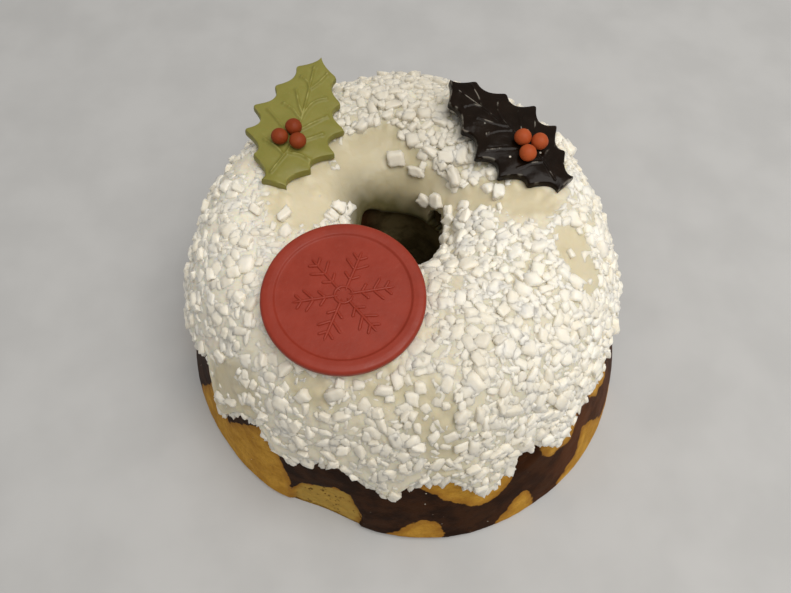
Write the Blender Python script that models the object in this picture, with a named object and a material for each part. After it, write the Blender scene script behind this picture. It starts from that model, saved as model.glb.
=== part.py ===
"""Iced marble bundt cake with sugar nibs, a moulded medallion and two holly leaves.

Metres, +Z up. The cake stands on its flat base at z = 0, its front faces -Y.
Every ring-shaped piece is swept from one cross-section: u runs along the section from
0 at the outer base, over the crest, to 4 at the foot of the centre hole.
"""

import math
import random

import bmesh
import bpy
from mathutils import Matrix, Vector

MM = 0.001

# Sponge ring
BASE_RADIUS = 90 * MM
WALL_TAPER = math.radians(17.5)
SHOULDER_HEIGHT = 40 * MM
CREST_RADIUS = 47 * MM
CREST_HEIGHT = 77.3 * MM
THROAT_RADIUS = 17.6 * MM
THROAT_HEIGHT = 62 * MM
BORE_FOOT_RADIUS = 15.6 * MM
FOOT_ROUNDING = 2.5 * MM
CROWN_LEAN = -2.5 * MM
FOOT_CENTRE = Vector((1.08 * MM, 0.36 * MM, 0))
# Pull of the curves' middle points: up the wall, over the crest, towards the throat, into it
WALL_PULL = 0.62
CREST_PULL = 0.55
THROAT_PULL = 14 * MM
THROAT_FLARE = 1.5 * MM
SPONGE_COLUMNS = 56

# Bulges (+) and hollows (-) of the outer wall: direction, half width in degrees, depth, and
# the height over which they fade away
WALL_LUMPS = (
    (200, 24, 1.4 * MM, 70 * MM),
    (234, 18, 0.8 * MM, 50 * MM),
    (250, 10, -2.6 * MM, 34 * MM),
    (282, 16, 1.9 * MM, 50 * MM),
    (312, 28, 2.4 * MM, 60 * MM),
    (352, 26, -1.6 * MM, 60 * MM),
    (95, 30, 0.8 * MM, 60 * MM),
)
# Hollows of the upper flank, which fade out over these lengths towards the foot and the crest:
# direction, half width in degrees, depth
FLANK_LUMPS = ((14, 38, -3.0 * MM), (90, 35, -1.2 * MM), (158, 30, -2.6 * MM))
FLANK_FOOT = 45 * MM
FLANK_CREST = 22 * MM

# Icing
ICING_GAP = 0.7 * MM
ICING_THICKNESS = 2.4 * MM
ICING_LIP = 1.2 * MM
ICING_LUMP = 0.35 * MM
ICING_COLUMNS = 66
ICING_ROWS = 13
EDGE_HEIGHT = 48 * MM
INNER_EDGE_HEIGHT = 55 * MM

# Drips of the outer icing edge: direction, half width in degrees, how far they hang down
OUTER_DRIPS = (
    (20, 7, 6 * MM), (47, 6, 11 * MM), (74, 8, 5 * MM), (101, 6, 10 * MM), (128, 8, 6 * MM),
    (152, 6, 12 * MM), (178, 8, 6 * MM), (196, 6, 5 * MM), (213, 4, -6 * MM), (221, 4.8, 14 * MM),
    (234, 3.5, -3 * MM), (241, 5, 8 * MM), (267, 5, 10 * MM), (289.5, 6, 13 * MM),
    (310, 4.5, 11 * MM), (327.5, 3, 3 * MM), (336, 8, -4 * MM),
)
# Drips of the icing inside the centre hole
INNER_DRIPS = (
    (160, 45, -13 * MM), (40, 25, 1.5 * MM), (235, 10, 9 * MM), (300, 12, 12 * MM), (345, 14, 5 * MM),
)

# Sugar nibs
NIB_COUNT = 200
NIB_LENGTH = (4.4 * MM, 6.0 * MM)
NIB_CORNERS = 8
NIB_JITTER = (0.4, 1.0)
NIB_SINK = 0.18
NIB_SPACING = 7.6 * MM
NIB_TRIES = 9000
NIB_SEED = 41
# Patches of icing left bare: x and y of the middle from the crown's axis, half sizes along
# and across, and the turn of the patch in degrees
BARE_PATCHES = (
    (-29 * MM, 10 * MM, 25 * MM, 13 * MM, 62),
    (-8 * MM, 26 * MM, 15 * MM, 11 * MM, 0),
    (-4 * MM, 17 * MM, 17 * MM, 7 * MM, 0),
    (32 * MM, 6 * MM, 18 * MM, 7 * MM, -12),
    (54 * MM, -15 * MM, 13 * MM, 7 * MM, 105),
    (11 * MM, -66 * MM, 12 * MM, 7 * MM, -60),
    (-4 * MM, -57 * MM, 9 * MM, 5 * MM, 0),
    (-25 * MM, -58 * MM, 8 * MM, 4 * MM, -20),
    (-53 * MM, -54 * MM, 12 * MM, 8 * MM, 135),
    (10 * MM, 9.3 * MM, 9 * MM, 5 * MM, -45),
)

# Toppings
PLATE_CLEARANCE = 0.35 * MM
TUCK_SPREAD = 0.05
MEDALLION_RADIUS = 23.9 * MM
MEDALLION_THICKNESS = 3.3 * MM
MEDALLION_RIM = 0.83
MEDALLION_RECESS = 0.7 * MM
MEDALLION_SIDES = 48
MEDALLION_TOP = Vector((-16.6 * MM, -32.9 * MM, 85.3 * MM))
MEDALLION_NORMAL = Vector((0.035, -0.030, 1.0))

LEAF_LENGTH = 55 * MM
LEAF_HALF_WIDTH = 15.2 * MM
LEAF_THICKNESS = 2.6 * MM
GREEN_SPREAD = 1.08  # the green leaf is that much wider
LEAF_CROWN = 0.7 * MM
LEAF_BITE = 0.55
LEAF_NECK_BITE = 0.75
LEAF_ARC_POINTS = 3
LEAF_ARC_LEAN = 0.45
# The corner of the straight cut foot, then the spines of one side, as fractions of the length
# from the foot and of the half width
LEAF_FOOT = (0.045, 0.25)
LEAF_SPINES = ((0.19, 0.61), (0.34, 0.97), (0.52, 1.0), (0.70, 0.73), (0.885, 0.45))
# Middle of the top face from the crown's axis, heading of the tip, rise of the tip, roll
GREEN_LEAF = ((-35.8 * MM, 31.5 * MM, 85.6 * MM), -12.9, 4.5, 7.1)
DARK_LEAF = ((34.0 * MM, 26.6 * MM, 86.6 * MM), 45.5, 8.0, -4.0)

BERRY_RADIUS = 2.6 * MM
BERRY_SQUASH = 0.88
# Berries: place along and across the leaf from its middle
BERRY_PLACES = ((-5.0 * MM, 0.3 * MM), (-10.0 * MM, -2.8 * MM), (-9.7 * MM, 3.2 * MM))
BERRY_HEIGHT = 2.7 * MM


# ---------------------------------------------------------------- materials

def material(name, colour, roughness):
    """A Principled material with one colour."""
    made = bpy.data.materials.new(name)
    made.use_nodes = True
    shader = made.node_tree.nodes["Principled BSDF"]
    shader.inputs["Base Color"].default_value = (*colour, 1)
    shader.inputs["Roughness"].default_value = roughness
    shader.inputs["Metallic"].default_value = 0
    return made


# ---------------------------------------------------------------- cross-section

def bezier(points, t):
    """A point of the cubic curve through four control points."""
    a, b, c, d = (Vector(p) for p in points)
    s = 1 - t
    return a * s ** 3 + b * 3 * s * s * t + c * 3 * s * t * t + d * t ** 3


SHOULDER_RADIUS = BASE_RADIUS - math.tan(WALL_TAPER) * SHOULDER_HEIGHT
RISE = (CREST_HEIGHT - SHOULDER_HEIGHT) * WALL_PULL
OUTER_CURVE = (
    (SHOULDER_RADIUS, SHOULDER_HEIGHT),
    (SHOULDER_RADIUS - math.sin(WALL_TAPER) * RISE, SHOULDER_HEIGHT + math.cos(WALL_TAPER) * RISE),
    (CREST_RADIUS + (SHOULDER_RADIUS - CREST_RADIUS) * CREST_PULL, CREST_HEIGHT),
    (CREST_RADIUS, CREST_HEIGHT),
)
INNER_CURVE = (
    (CREST_RADIUS, CREST_HEIGHT),
    (CREST_RADIUS - THROAT_PULL, CREST_HEIGHT),
    (THROAT_RADIUS + THROAT_FLARE, CREST_HEIGHT - THROAT_FLARE),
    (THROAT_RADIUS, THROAT_HEIGHT),
)


def section(u):
    """Radius and height of the sponge's section at u."""
    if u <= 1:
        return Vector((BASE_RADIUS, 0)).lerp(Vector((SHOULDER_RADIUS, SHOULDER_HEIGHT)), u)
    if u <= 2:
        return bezier(OUTER_CURVE, u - 1)
    if u <= 3:
        return bezier(INNER_CURVE, u - 2)
    return Vector((THROAT_RADIUS, THROAT_HEIGHT)).lerp(Vector((BORE_FOOT_RADIUS, 0)), u - 3)


def section_offset(u, distance):
    """The section at u moved outwards by a distance."""
    step = 0.004
    run = section(min(u + step, 4)) - section(max(u - step, 0))
    normal = Vector((run.y, -run.x)).normalized()
    return section(u) + normal * distance


def swell(azimuth, lumps, height=None):
    """Sum of the rounded lumps that a direction, in degrees, meets."""
    total = 0
    for lump in lumps:
        turn = (azimuth - lump[0] + 180) % 360 - 180
        share = math.exp(-(turn / lump[1]) ** 2)
        if height is not None:
            share *= max(0, 1 - height / lump[3])
        total += lump[2] * share
    return total


def eased(share):
    """A share from 0 to 1 with a smooth start and end."""
    share = max(0, min(1, share))
    return share * share * (3 - 2 * share)


def ring_point(azimuth, radius, height):
    """A point of the ring, with the lumps of its wall and flank and the crown's lean."""
    if radius > CREST_RADIUS:
        flank = eased(height / FLANK_FOOT) * eased((radius - CREST_RADIUS) / FLANK_CREST)
        radius += swell(azimuth, WALL_LUMPS, height) + swell(azimuth, FLANK_LUMPS) * flank
    turn = math.radians(azimuth)
    lean = CROWN_LEAN * height / CREST_HEIGHT
    return FOOT_CENTRE + Vector((radius * math.cos(turn) + lean, radius * math.sin(turn), height))


def crown(point):
    """A point given from the crown's axis."""
    return FOOT_CENTRE + Vector(point) + Vector((CROWN_LEAN, 0, 0))


def section_at_height(height, low, high):
    """The u between low and high where the section reaches a height."""
    rising = section(high).y > section(low).y
    for _ in range(40):
        middle = (low + high) / 2
        if (section(middle).y < height) == rising:
            low = middle
        else:
            high = middle
    return (low + high) / 2


# ---------------------------------------------------------------- meshes

def new_object(name, bm, paint, smooth_angle=40):
    """Link a bmesh as a closed, outward-facing object."""
    bmesh.ops.recalc_face_normals(bm, faces=bm.faces)
    bmesh.ops.triangulate(bm, faces=bm.faces)
    mesh = bpy.data.meshes.new(name)
    bm.to_mesh(mesh)
    bm.free()
    mesh.materials.append(paint)
    mesh.shade_smooth()
    mesh.set_sharp_from_angle(angle=math.radians(smooth_angle))
    piece = bpy.data.objects.new(name, mesh)
    bpy.context.scene.collection.objects.link(piece)
    return piece


def sweep(rings):
    """Skin rings of equal length into a body closed both round and across."""
    bm = bmesh.new()
    loops = [[bm.verts.new(p) for p in ring] for ring in rings]
    count = len(loops[0])
    for k, loop in enumerate(loops):
        follower = loops[(k + 1) % len(loops)]
        for i in range(count):
            j = (i + 1) % count
            bm.faces.new((loop[i], loop[j], follower[j], follower[i]))
    return bm


def build_sponge(paint):
    """The ring of cake: tapered wall, rounded crown and centre hole."""
    rows = [
        Vector((BASE_RADIUS - FOOT_ROUNDING, 0)),
        Vector((BASE_RADIUS - 0.35 * FOOT_ROUNDING, 0.3 * FOOT_ROUNDING)),
    ]
    rows += [section(u) for u in (0.07, 0.4, 0.7, 1, 1.25, 1.5, 1.75, 2)]
    rows += [section(u) for u in (2.3, 2.55, 2.75, 3, 3.35, 3.7, 3.97)]
    rows.append(Vector((BORE_FOOT_RADIUS + 0.6 * FOOT_ROUNDING, 0)))
    directions = [360 * i / SPONGE_COLUMNS for i in range(SPONGE_COLUMNS)]
    rings = [[ring_point(a, row.x, row.y) for a in directions] for row in rows]
    return new_object("cake", sweep(rings), paint)


def edge_heights(azimuth):
    """Heights of the icing's outer and inner edge in one direction."""
    outer = EDGE_HEIGHT - swell(azimuth, OUTER_DRIPS)
    inner = INNER_EDGE_HEIGHT - swell(azimuth, INNER_DRIPS)
    return outer, inner


def icing_span(azimuth):
    """The u at which the icing starts and ends in one direction."""
    outer, inner = edge_heights(azimuth)
    return section_at_height(outer, 0, 2), section_at_height(inner, 2, 4)


def icing_swell(azimuth, u):
    """Slow waves of the icing's surface."""
    turn = math.radians(azimuth)
    waves = math.sin(5 * turn + 3.1 * u) + 0.7 * math.sin(9 * turn - 4.3 * u + 1.2)
    return ICING_LUMP * waves * math.sin(math.pi * min(max(u / 3.5, 0), 1)) ** 2


def icing_surface(azimuth, u):
    """A point of the icing's outer surface."""
    start, end = icing_span(azimuth)
    share = (u - start) / (end - start)
    fade = min(1, 5 * share, 5 * (1 - share))
    depth = ICING_LIP + (ICING_THICKNESS - ICING_LIP) * math.sin(0.5 * math.pi * fade)
    point = section_offset(u, ICING_GAP + depth + fade * icing_swell(azimuth, u))
    return ring_point(azimuth, point.x, point.y)


def build_icing(paint):
    """The icing: a shell over the crown, down the wall and into the hole."""
    directions = [360 * i / ICING_COLUMNS for i in range(ICING_COLUMNS)]
    outside = []
    inside = []
    for row in range(ICING_ROWS + 1):
        share = row / ICING_ROWS
        top = []
        under = []
        for azimuth in directions:
            start, end = icing_span(azimuth)
            u = start + (end - start) * share
            top.append(icing_surface(azimuth, u))
            back = section_offset(u, ICING_GAP)
            under.append(ring_point(azimuth, back.x, back.y))
        outside.append(top)
        inside.append(under)
    return new_object("icing", sweep(outside + inside[::-1]), paint)


# ---------------------------------------------------------------- toppings

def plate_matrix(place, heading, rise, roll):
    """World matrix of a leaf: y runs to the tip, z stands on its top face."""
    turn = Matrix.Rotation(math.radians(heading), 4, "Z")
    lift = Matrix.Rotation(math.radians(rise), 4, "X")
    bank = Matrix.Rotation(math.radians(roll), 4, "Y")
    return Matrix.Translation(crown(place)) @ turn @ lift @ bank


def medallion_matrix():
    """World matrix of the medallion: z stands on its rim."""
    tilt = Vector((0, 0, 1)).rotation_difference(MEDALLION_NORMAL.normalized())
    return Matrix.Translation(crown(MEDALLION_TOP)) @ tilt.to_matrix().to_4x4()


def build_medallion(paint):
    """A round plate with a raised, rounded rim."""
    edge = MEDALLION_RADIUS
    deep = -MEDALLION_THICKNESS
    rim = MEDALLION_RIM * edge
    profile = (
        (edge - 0.9 * MM, deep), (edge, deep + 0.9 * MM), (edge, -1.1 * MM), (edge - 0.7 * MM, -0.3 * MM),
        (edge - 1.9 * MM, 0.0), (rim + 0.8 * MM, -0.15 * MM), (rim, -MEDALLION_RECESS),
    )
    turns = [2 * math.pi * i / MEDALLION_SIDES for i in range(MEDALLION_SIDES)]
    bm = bmesh.new()
    loops = []
    for radius, height in profile:
        loops.append([bm.verts.new((radius * math.cos(t), radius * math.sin(t), height)) for t in turns])
    for lower, upper in zip(loops, loops[1:]):
        for i in range(MEDALLION_SIDES):
            j = (i + 1) % MEDALLION_SIDES
            bm.faces.new((lower[i], lower[j], upper[j], upper[i]))
    for loop, height in ((loops[0], deep), (loops[-1], -MEDALLION_RECESS)):
        middle = bm.verts.new((0, 0, height))
        for i in range(MEDALLION_SIDES):
            bm.faces.new((loop[i], loop[(i + 1) % MEDALLION_SIDES], middle))
    piece = new_object("medallion", bm, paint)
    piece.matrix_world = medallion_matrix()
    return piece


def leaf_side(spread):
    """Points of one half of a leaf's edge, from foot to tip: along and out."""
    spines = (LEAF_FOOT, *LEAF_SPINES, (1.0, 0.0))
    points = [LEAF_FOOT]
    for number, ((t0, w0), (t1, w1)) in enumerate(zip(spines, spines[1:])):
        bite = LEAF_BITE if number else LEAF_NECK_BITE
        middle_t = t0 + (t1 - t0) * LEAF_ARC_LEAN
        middle_w = (1 - bite) * (w0 + w1) / 2
        for k in range(1, LEAF_ARC_POINTS + 2):
            s = k / (LEAF_ARC_POINTS + 1)
            t = (1 - s) ** 2 * t0 + 2 * s * (1 - s) * middle_t + s * s * t1
            w = (1 - s) ** 2 * w0 + 2 * s * (1 - s) * middle_w + s * s * w1
            points.append((t, w))
    return [((t - 0.5) * LEAF_LENGTH, w * LEAF_HALF_WIDTH * spread) for t, w in points]


def build_leaf(name, pose, spread, paint):
    """A moulded holly leaf: spined edge, flat back and a gently raised middle."""
    side = leaf_side(spread)
    bm = bmesh.new()
    levels = []
    for edge, middle in ((0, LEAF_CROWN), (-LEAF_THICKNESS, -LEAF_THICKNESS)):
        level = {}
        tip = bm.verts.new((0, side[-1][0], edge))
        for way in (-1, 0, 1):
            height = edge if way else middle
            level[way] = [bm.verts.new((way * out, along, height)) for along, out in side[:-1]]
            level[way].append(tip)
        levels.append(level)
    top, back = levels
    for way in (-1, 1):
        for k in range(len(side) - 1):
            for level in levels:
                corners = (level[0][k], level[way][k], level[way][k + 1], level[0][k + 1])
                bm.faces.new(list(dict.fromkeys(corners)))
            bm.faces.new((top[way][k], top[way][k + 1], back[way][k + 1], back[way][k]))
        bm.faces.new((top[0][0], top[way][0], back[way][0], back[0][0]))
    piece = new_object(name, bm, paint, 30)
    piece.matrix_world = plate_matrix(*pose)
    return piece


def build_berries(prefix, pose, paint):
    """Three small round berries on a leaf."""
    frame = plate_matrix(*pose)
    for number, (along, across) in enumerate(BERRY_PLACES, 1):
        bm = bmesh.new()
        bmesh.ops.create_icosphere(bm, subdivisions=2, radius=BERRY_RADIUS)
        berry = new_object(f"{prefix}_{number}", bm, paint)
        place = Matrix.Translation((across, along, BERRY_HEIGHT + LEAF_CROWN))
        berry.matrix_world = frame @ place @ Matrix.Diagonal((1, 1, BERRY_SQUASH, 1))


# ---------------------------------------------------------------- sugar nibs

def is_bare(point):
    """Whether a point of the icing lies in a patch without nibs."""
    away = point - crown((0, 0, 0))
    for x, y, along, across, turn in BARE_PATCHES:
        angle = math.radians(turn)
        dx, dy = away.x - x, away.y - y
        s = (dx * math.cos(angle) + dy * math.sin(angle)) / along
        t = (dy * math.cos(angle) - dx * math.sin(angle)) / across
        if s * s + t * t < 1:
            return True
    return False


def plates():
    """The flat toppings: inverse matrix, half length, half width and underside."""
    leaf = (LEAF_LENGTH / 2, LEAF_HALF_WIDTH, -LEAF_THICKNESS)
    disc = (MEDALLION_RADIUS, MEDALLION_RADIUS, -MEDALLION_THICKNESS)
    return (
        (plate_matrix(*GREEN_LEAF).inverted(), *leaf),
        (plate_matrix(*DARK_LEAF).inverted(), *leaf),
        (medallion_matrix().inverted(), *disc),
    )


def tuck_under(point, reach):
    """Lower a point that stands under or beside a flat topping to clear its underside."""
    for inverse, half_length, half_width, underside in plates():
        local = inverse @ point
        if abs(local.x) < half_width + reach and abs(local.y) < half_length + reach:
            # The spread lets no two nibs end on one plane
            limit = underside - PLATE_CLEARANCE - TUCK_SPREAD * reach
            if local.z > limit:
                local.z = limit
                point = inverse.inverted() @ local
    return point


def nib_corners(draw, length):
    """Corners of one uneven sugar nib round the origin."""
    width = length * draw.uniform(0.6, 0.85)
    depth = length * draw.uniform(0.55, 0.75)
    spin = Matrix.Rotation(draw.uniform(0, 2 * math.pi), 3, "Z")
    turn = spin @ Matrix.Rotation(draw.uniform(-0.5, 0.5), 3, "X")
    corners = []
    for k in range(NIB_CORNERS):
        side = Vector((1 if k & 1 else -1, 1 if k & 2 else -1, 1 if k & 4 else -1))
        jitter = Vector([draw.uniform(*NIB_JITTER) for _ in range(3)])
        corner = Vector((side.x * jitter.x * length, side.y * jitter.y * width, side.z * jitter.z * depth))
        corners.append(turn @ corner / 2)
    return corners


def nib_seats(draw):
    """Places of the nibs on the icing: points and outward directions, evenly spread."""
    seats = []
    for _ in range(NIB_TRIES):
        if len(seats) == NIB_COUNT:
            break
        azimuth = draw.uniform(0, 360)
        start, end = icing_span(azimuth)
        low = start + 0.04
        high = min(end - 0.15, 2.85)
        u = low + (high - low) * draw.random()
        if draw.random() > section(u).x / BASE_RADIUS:
            continue
        point = icing_surface(azimuth, u)
        near = min(((point - seat).length for seat, _ in seats), default=1)
        if near < NIB_SPACING or is_bare(point):
            continue
        along = icing_surface(azimuth, u + 0.01) - icing_surface(azimuth, u - 0.01)
        around = icing_surface(azimuth + 0.5, u) - icing_surface(azimuth - 0.5, u)
        seats.append((point, around.cross(along).normalized()))
    return seats


def drop_scraps(piece):
    """Keep only the largest connected body of a mesh."""
    bm = bmesh.new()
    bm.from_mesh(piece.data)
    waiting = set(bm.verts)
    islands = []
    while waiting:
        island = {waiting.pop()}
        edge = list(island)
        while edge:
            vert = edge.pop()
            for link in vert.link_edges:
                other = link.other_vert(vert)
                if other in waiting:
                    waiting.remove(other)
                    island.add(other)
                    edge.append(other)
        islands.append(island)
    islands.sort(key=len)
    for island in islands[:-1]:
        bmesh.ops.delete(bm, geom=list(island), context="VERTS")
    bm.to_mesh(piece.data)
    bm.free()


def fuse_nibs(icing, paint):
    """Fuse the nibs to the icing as one closed body."""
    draw = random.Random(NIB_SEED + 1)
    nibs = bpy.data.collections.new("nibs")
    bpy.context.scene.collection.children.link(nibs)
    for number, (seat, normal) in enumerate(nib_seats(random.Random(NIB_SEED))):
        length = draw.uniform(*NIB_LENGTH)
        stand = normal.to_track_quat("Z", "Y").to_matrix()
        centre = seat + normal * length * NIB_SINK
        bm = bmesh.new()
        for corner in nib_corners(draw, length):
            bm.verts.new(tuck_under(centre + stand @ corner, length))
        bmesh.ops.convex_hull(bm, input=bm.verts)
        nib = new_object(f"nib_{number}", bm, paint)
        nibs.objects.link(nib)
        bpy.context.scene.collection.objects.unlink(nib)
    join = icing.modifiers.new("nibs", "BOOLEAN")
    join.operation = "UNION"
    join.operand_type = "COLLECTION"
    join.collection = nibs
    join.solver = "EXACT"
    with bpy.context.temp_override(object=icing, active_object=icing, selected_objects=[icing]):
        bpy.ops.object.modifier_apply(modifier=join.name)
    for nib in list(nibs.objects):
        bpy.data.objects.remove(nib)
    bpy.data.collections.remove(nibs)
    drop_scraps(icing)


def main():
    for old in list(bpy.data.objects):
        bpy.data.objects.remove(old)
    sponge = material("marbled sponge", (0.20, 0.12, 0.05), 0.6)
    sugar = material("white icing", (0.80, 0.76, 0.66), 0.45)
    red = material("red chocolate", (0.42, 0.06, 0.04), 0.4)
    green = material("green chocolate", (0.33, 0.28, 0.09), 0.45)
    dark = material("dark chocolate", (0.03, 0.018, 0.012), 0.25)
    berry = material("berry red", (0.40, 0.06, 0.03), 0.5)

    build_sponge(sponge)
    icing = build_icing(sugar)
    fuse_nibs(icing, sugar)
    build_medallion(red)
    build_leaf("leaf_green", GREEN_LEAF, GREEN_SPREAD, green)
    build_leaf("leaf_dark", DARK_LEAF, 1.0, dark)
    build_berries("berry_green", GREEN_LEAF, berry)
    build_berries("berry_dark", DARK_LEAF, berry)


main()
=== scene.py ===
"""Looks of the iced marble bundt cake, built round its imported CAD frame. Metres, +Z up."""

import itertools
import math
import random

import bmesh
import bpy
import numpy as np
from mathutils import Matrix, Vector, noise
from mathutils.kdtree import KDTree


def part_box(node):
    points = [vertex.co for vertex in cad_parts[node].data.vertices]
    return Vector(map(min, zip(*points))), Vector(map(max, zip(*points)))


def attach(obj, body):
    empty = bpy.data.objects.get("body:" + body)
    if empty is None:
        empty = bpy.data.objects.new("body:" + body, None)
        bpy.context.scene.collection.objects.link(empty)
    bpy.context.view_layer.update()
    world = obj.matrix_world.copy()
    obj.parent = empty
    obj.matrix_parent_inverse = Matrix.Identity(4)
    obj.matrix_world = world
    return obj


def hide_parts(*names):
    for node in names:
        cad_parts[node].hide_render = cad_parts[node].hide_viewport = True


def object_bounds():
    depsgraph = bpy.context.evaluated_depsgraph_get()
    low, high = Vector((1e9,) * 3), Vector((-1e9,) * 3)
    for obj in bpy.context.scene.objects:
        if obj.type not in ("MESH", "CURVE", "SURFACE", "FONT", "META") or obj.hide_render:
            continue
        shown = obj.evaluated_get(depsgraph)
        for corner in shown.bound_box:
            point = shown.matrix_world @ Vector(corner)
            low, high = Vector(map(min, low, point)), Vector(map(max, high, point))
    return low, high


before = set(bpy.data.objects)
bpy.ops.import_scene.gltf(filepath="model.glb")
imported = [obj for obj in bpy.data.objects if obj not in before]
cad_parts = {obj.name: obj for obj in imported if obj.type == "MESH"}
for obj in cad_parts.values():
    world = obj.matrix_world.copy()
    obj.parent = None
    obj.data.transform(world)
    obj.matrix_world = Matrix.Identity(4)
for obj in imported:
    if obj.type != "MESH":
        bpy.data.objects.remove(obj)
CAD_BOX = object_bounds()

MM = 0.001

# ---- dimensions shared with the CAD

BASE_RADIUS = 90 * MM
WALL_TAPER = math.radians(17.5)
SHOULDER_HEIGHT = 40 * MM
CREST_RADIUS = 47 * MM
CREST_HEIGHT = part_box("cake")[1].z
THROAT_RADIUS = 17.6 * MM
THROAT_HEIGHT = 62 * MM
BORE_FOOT_RADIUS = 15.6 * MM
WALL_PULL = 0.62
CREST_PULL = 0.55
THROAT_PULL = 14 * MM
THROAT_FLARE = 1.5 * MM
CROWN_LEAN = -2.5 * MM
FOOT_CENTRE = np.array((1.08 * MM, 0.36 * MM, 0))
CROWN = FOOT_CENTRE + np.array((CROWN_LEAN, 0, 0))

# Lumps below are in degrees and mm: direction, half width, depth
# Bulges (+) and hollows (-) of the wall, each with the height where it ends
WALL_LUMPS = (
    (200, 24, 1.4, 70),
    (234, 18, 0.8, 50),
    (250, 10, -2.6, 34),
    (282, 16, 1.9, 50),
    (312, 28, 2.4, 60),
    (352, 26, -1.6, 60),
    (95, 30, 0.8, 60),
)
# Hollows of the upper flank
FLANK_LUMPS = ((14, 38, -3.0), (90, 35, -1.2), (158, 30, -2.6))
# They fade out over these lengths towards the foot and the crest
FLANK_FOOT = 45 * MM
FLANK_CREST = 22 * MM

ICING_GAP = 0.7 * MM
ICING_THICKNESS = 2.4 * MM
ICING_LUMP = 0.35 * MM
EDGE_HEIGHT = 48 * MM
INNER_EDGE_HEIGHT = 55 * MM
# Drips (+) and notches (-) of the icing's outer and inner edge
OUTER_DRIPS = (
    (20, 7, 6), (47, 6, 11), (74, 8, 5), (101, 6, 10), (128, 8, 6),
    (152, 6, 12), (178, 8, 6), (196, 6, 5), (213, 4, -6), (221, 4.8, 14),
    (234, 3.5, -3), (241, 5, 8), (267, 5, 10), (289.5, 6, 13),
    (310, 4.5, 11), (327.5, 3, 3), (336, 8, -4),
)
INNER_DRIPS = (
    (160, 45, -13), (40, 25, 1.5), (235, 10, 9), (300, 12, 12),
    (345, 14, 5),
)

# The largest nibs stand where the CAD has them
NIB_COUNT = 200
NIB_LENGTH = (4.4 * MM, 6.0 * MM)
NIB_CORNERS = 8
NIB_JITTER = (0.4, 1.0)
NIB_DENT = 0.08
NIB_SINK = 0.18
NIB_SPACING = 7.6 * MM
NIB_TRIES = 9000
NIB_SEED = 41
# How far in along the section they stand from the icing's outer and inner edge, and the last place
NIB_START_GAP = 0.04
NIB_END_GAP = 0.15
NIB_LAST = 2.85
LONE_LIFT = 0.14
# Nibs apart on the bare icing: direction, place on the section, nominal length in mm
LONE_NIBS = (
    (63, 2.9, 6), (46, 2.83, 6.5), (96, 2.58, 8), (78, 2.68, 8), (42, 2.58, 8.5), (58, 2.49, 7),
    (52, 2.46, 7), (49, 2.4, 8), (48, 2.31, 7), (170, 2.63, 6.5), (180, 2.6, 6), (185, 2.22, 6),
    (169, 2.19, 5), (100, 2.03, 7), (86, 2.1, 7), (28, 2.34, 6), (14, 2.36, 6.5), (332, 1.69, 7),
    (327, 1.93, 6), (35, 1.48, 9.5), (38, 1.55, 7), (31, 1.50, 9), (24, 2.81, 6), (14, 2.86, 6.5),
    (5, 2.9, 5.5), (353, 2.92, 6), (338, 2.92, 5.5), (322, 2.9, 6), (308, 2.86, 5.5),
)
# Nibs that hang off the outer edge
EDGE_NIBS = 200
EDGE_LENGTH = (4.6 * MM, 8.6 * MM)
EDGE_SINK = 1.1 * MM
# Long ones that hang like fingers at the front: direction, length in mm
FINGER_NIBS = (
    (274, 6.5), (276.6, 8.5), (279.4, 8.8), (284.8, 6.8), (288.4, 8.6), (291.5, 6.5), (295.2, 9.0),
)
FINGER_SINK = 0.8 * MM
# Finer nibs between them: name, number, lengths, lift in lengths, roundness
FINER_NIBS = (
    ("nibs_middling", 1700, (4.2 * MM, 7.4 * MM), (-0.2, 0.0), 0.4),
    ("nibs_small", 1830, (2.4 * MM, 4.4 * MM), (-0.14, 0.1), 0.45),
)
FINER_TRIES = 60000
FINER_REACH = 1.0 * MM
FINER_SPACING = 0.36
FINER_SEED = 77
GRID_CELL = 6 * MM
# Patches of icing left bare: centre, half length and half width in mm, turn in degrees
BARE_PATCHES = (
    (-29, 10, 25, 13, 62),
    (-8, 26, 15, 11, 0),
    (-4, 17, 17, 7, 0),
    (32, 6, 18, 7, -12),
    (54, -15, 13, 7, 105),
    (11, -66, 12, 7, -60),
    (-4, -57, 9, 5, 0),
    (-25, -58, 8, 4, -20),
    (-53, -54, 12, 8, 135),
    (10, 9.3, 9, 5, -45),
)

# Nibs near a flat topping stay below its underside, and none stands well under it
PLATE_CLEARANCE = 0.35 * MM
PLATE_MARGIN = 3 * MM
MEDALLION_RADIUS = 23.9 * MM
MEDALLION_THICKNESS = 3.3 * MM
MEDALLION_RIM = 0.83
MEDALLION_RECESS = 0.7 * MM
MEDALLION_TOP = (-16.6 * MM, -32.9 * MM, 85.3 * MM)
MEDALLION_NORMAL = Vector((0.035, -0.030, 1.0))
MEDALLION_SIDES = 160
MEDALLION_WAVES = 0.07 * MM
MEDALLION_UNEVENNESS = 0.0022
# The snowflake's lines: width, height, and how far each arm's side branches are and how long
FLAKE_WIDTH = 0.95 * MM
FLAKE_RISE = 0.5 * MM
FLAKE_ARM = (1.4 * MM, 15 * MM)
FLAKE_BRANCHES = ((5.2 * MM, 3.2 * MM), (8.6 * MM, 4.6 * MM), (12.0 * MM, 3.0 * MM))
FLAKE_RING = 2.6 * MM
# Degrees: the first arm's direction, and the branches' spread from their arm
FLAKE_TURN = 12
FLAKE_SPREAD = 52

LEAF_LENGTH = 55 * MM
LEAF_HALF_WIDTH = 15.2 * MM
LEAF_THICKNESS = 2.6 * MM
LEAF_CROWN = 0.7 * MM
LEAF_ROUNDING = 0.55 * MM
LEAF_FLARE = 1.012
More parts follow.
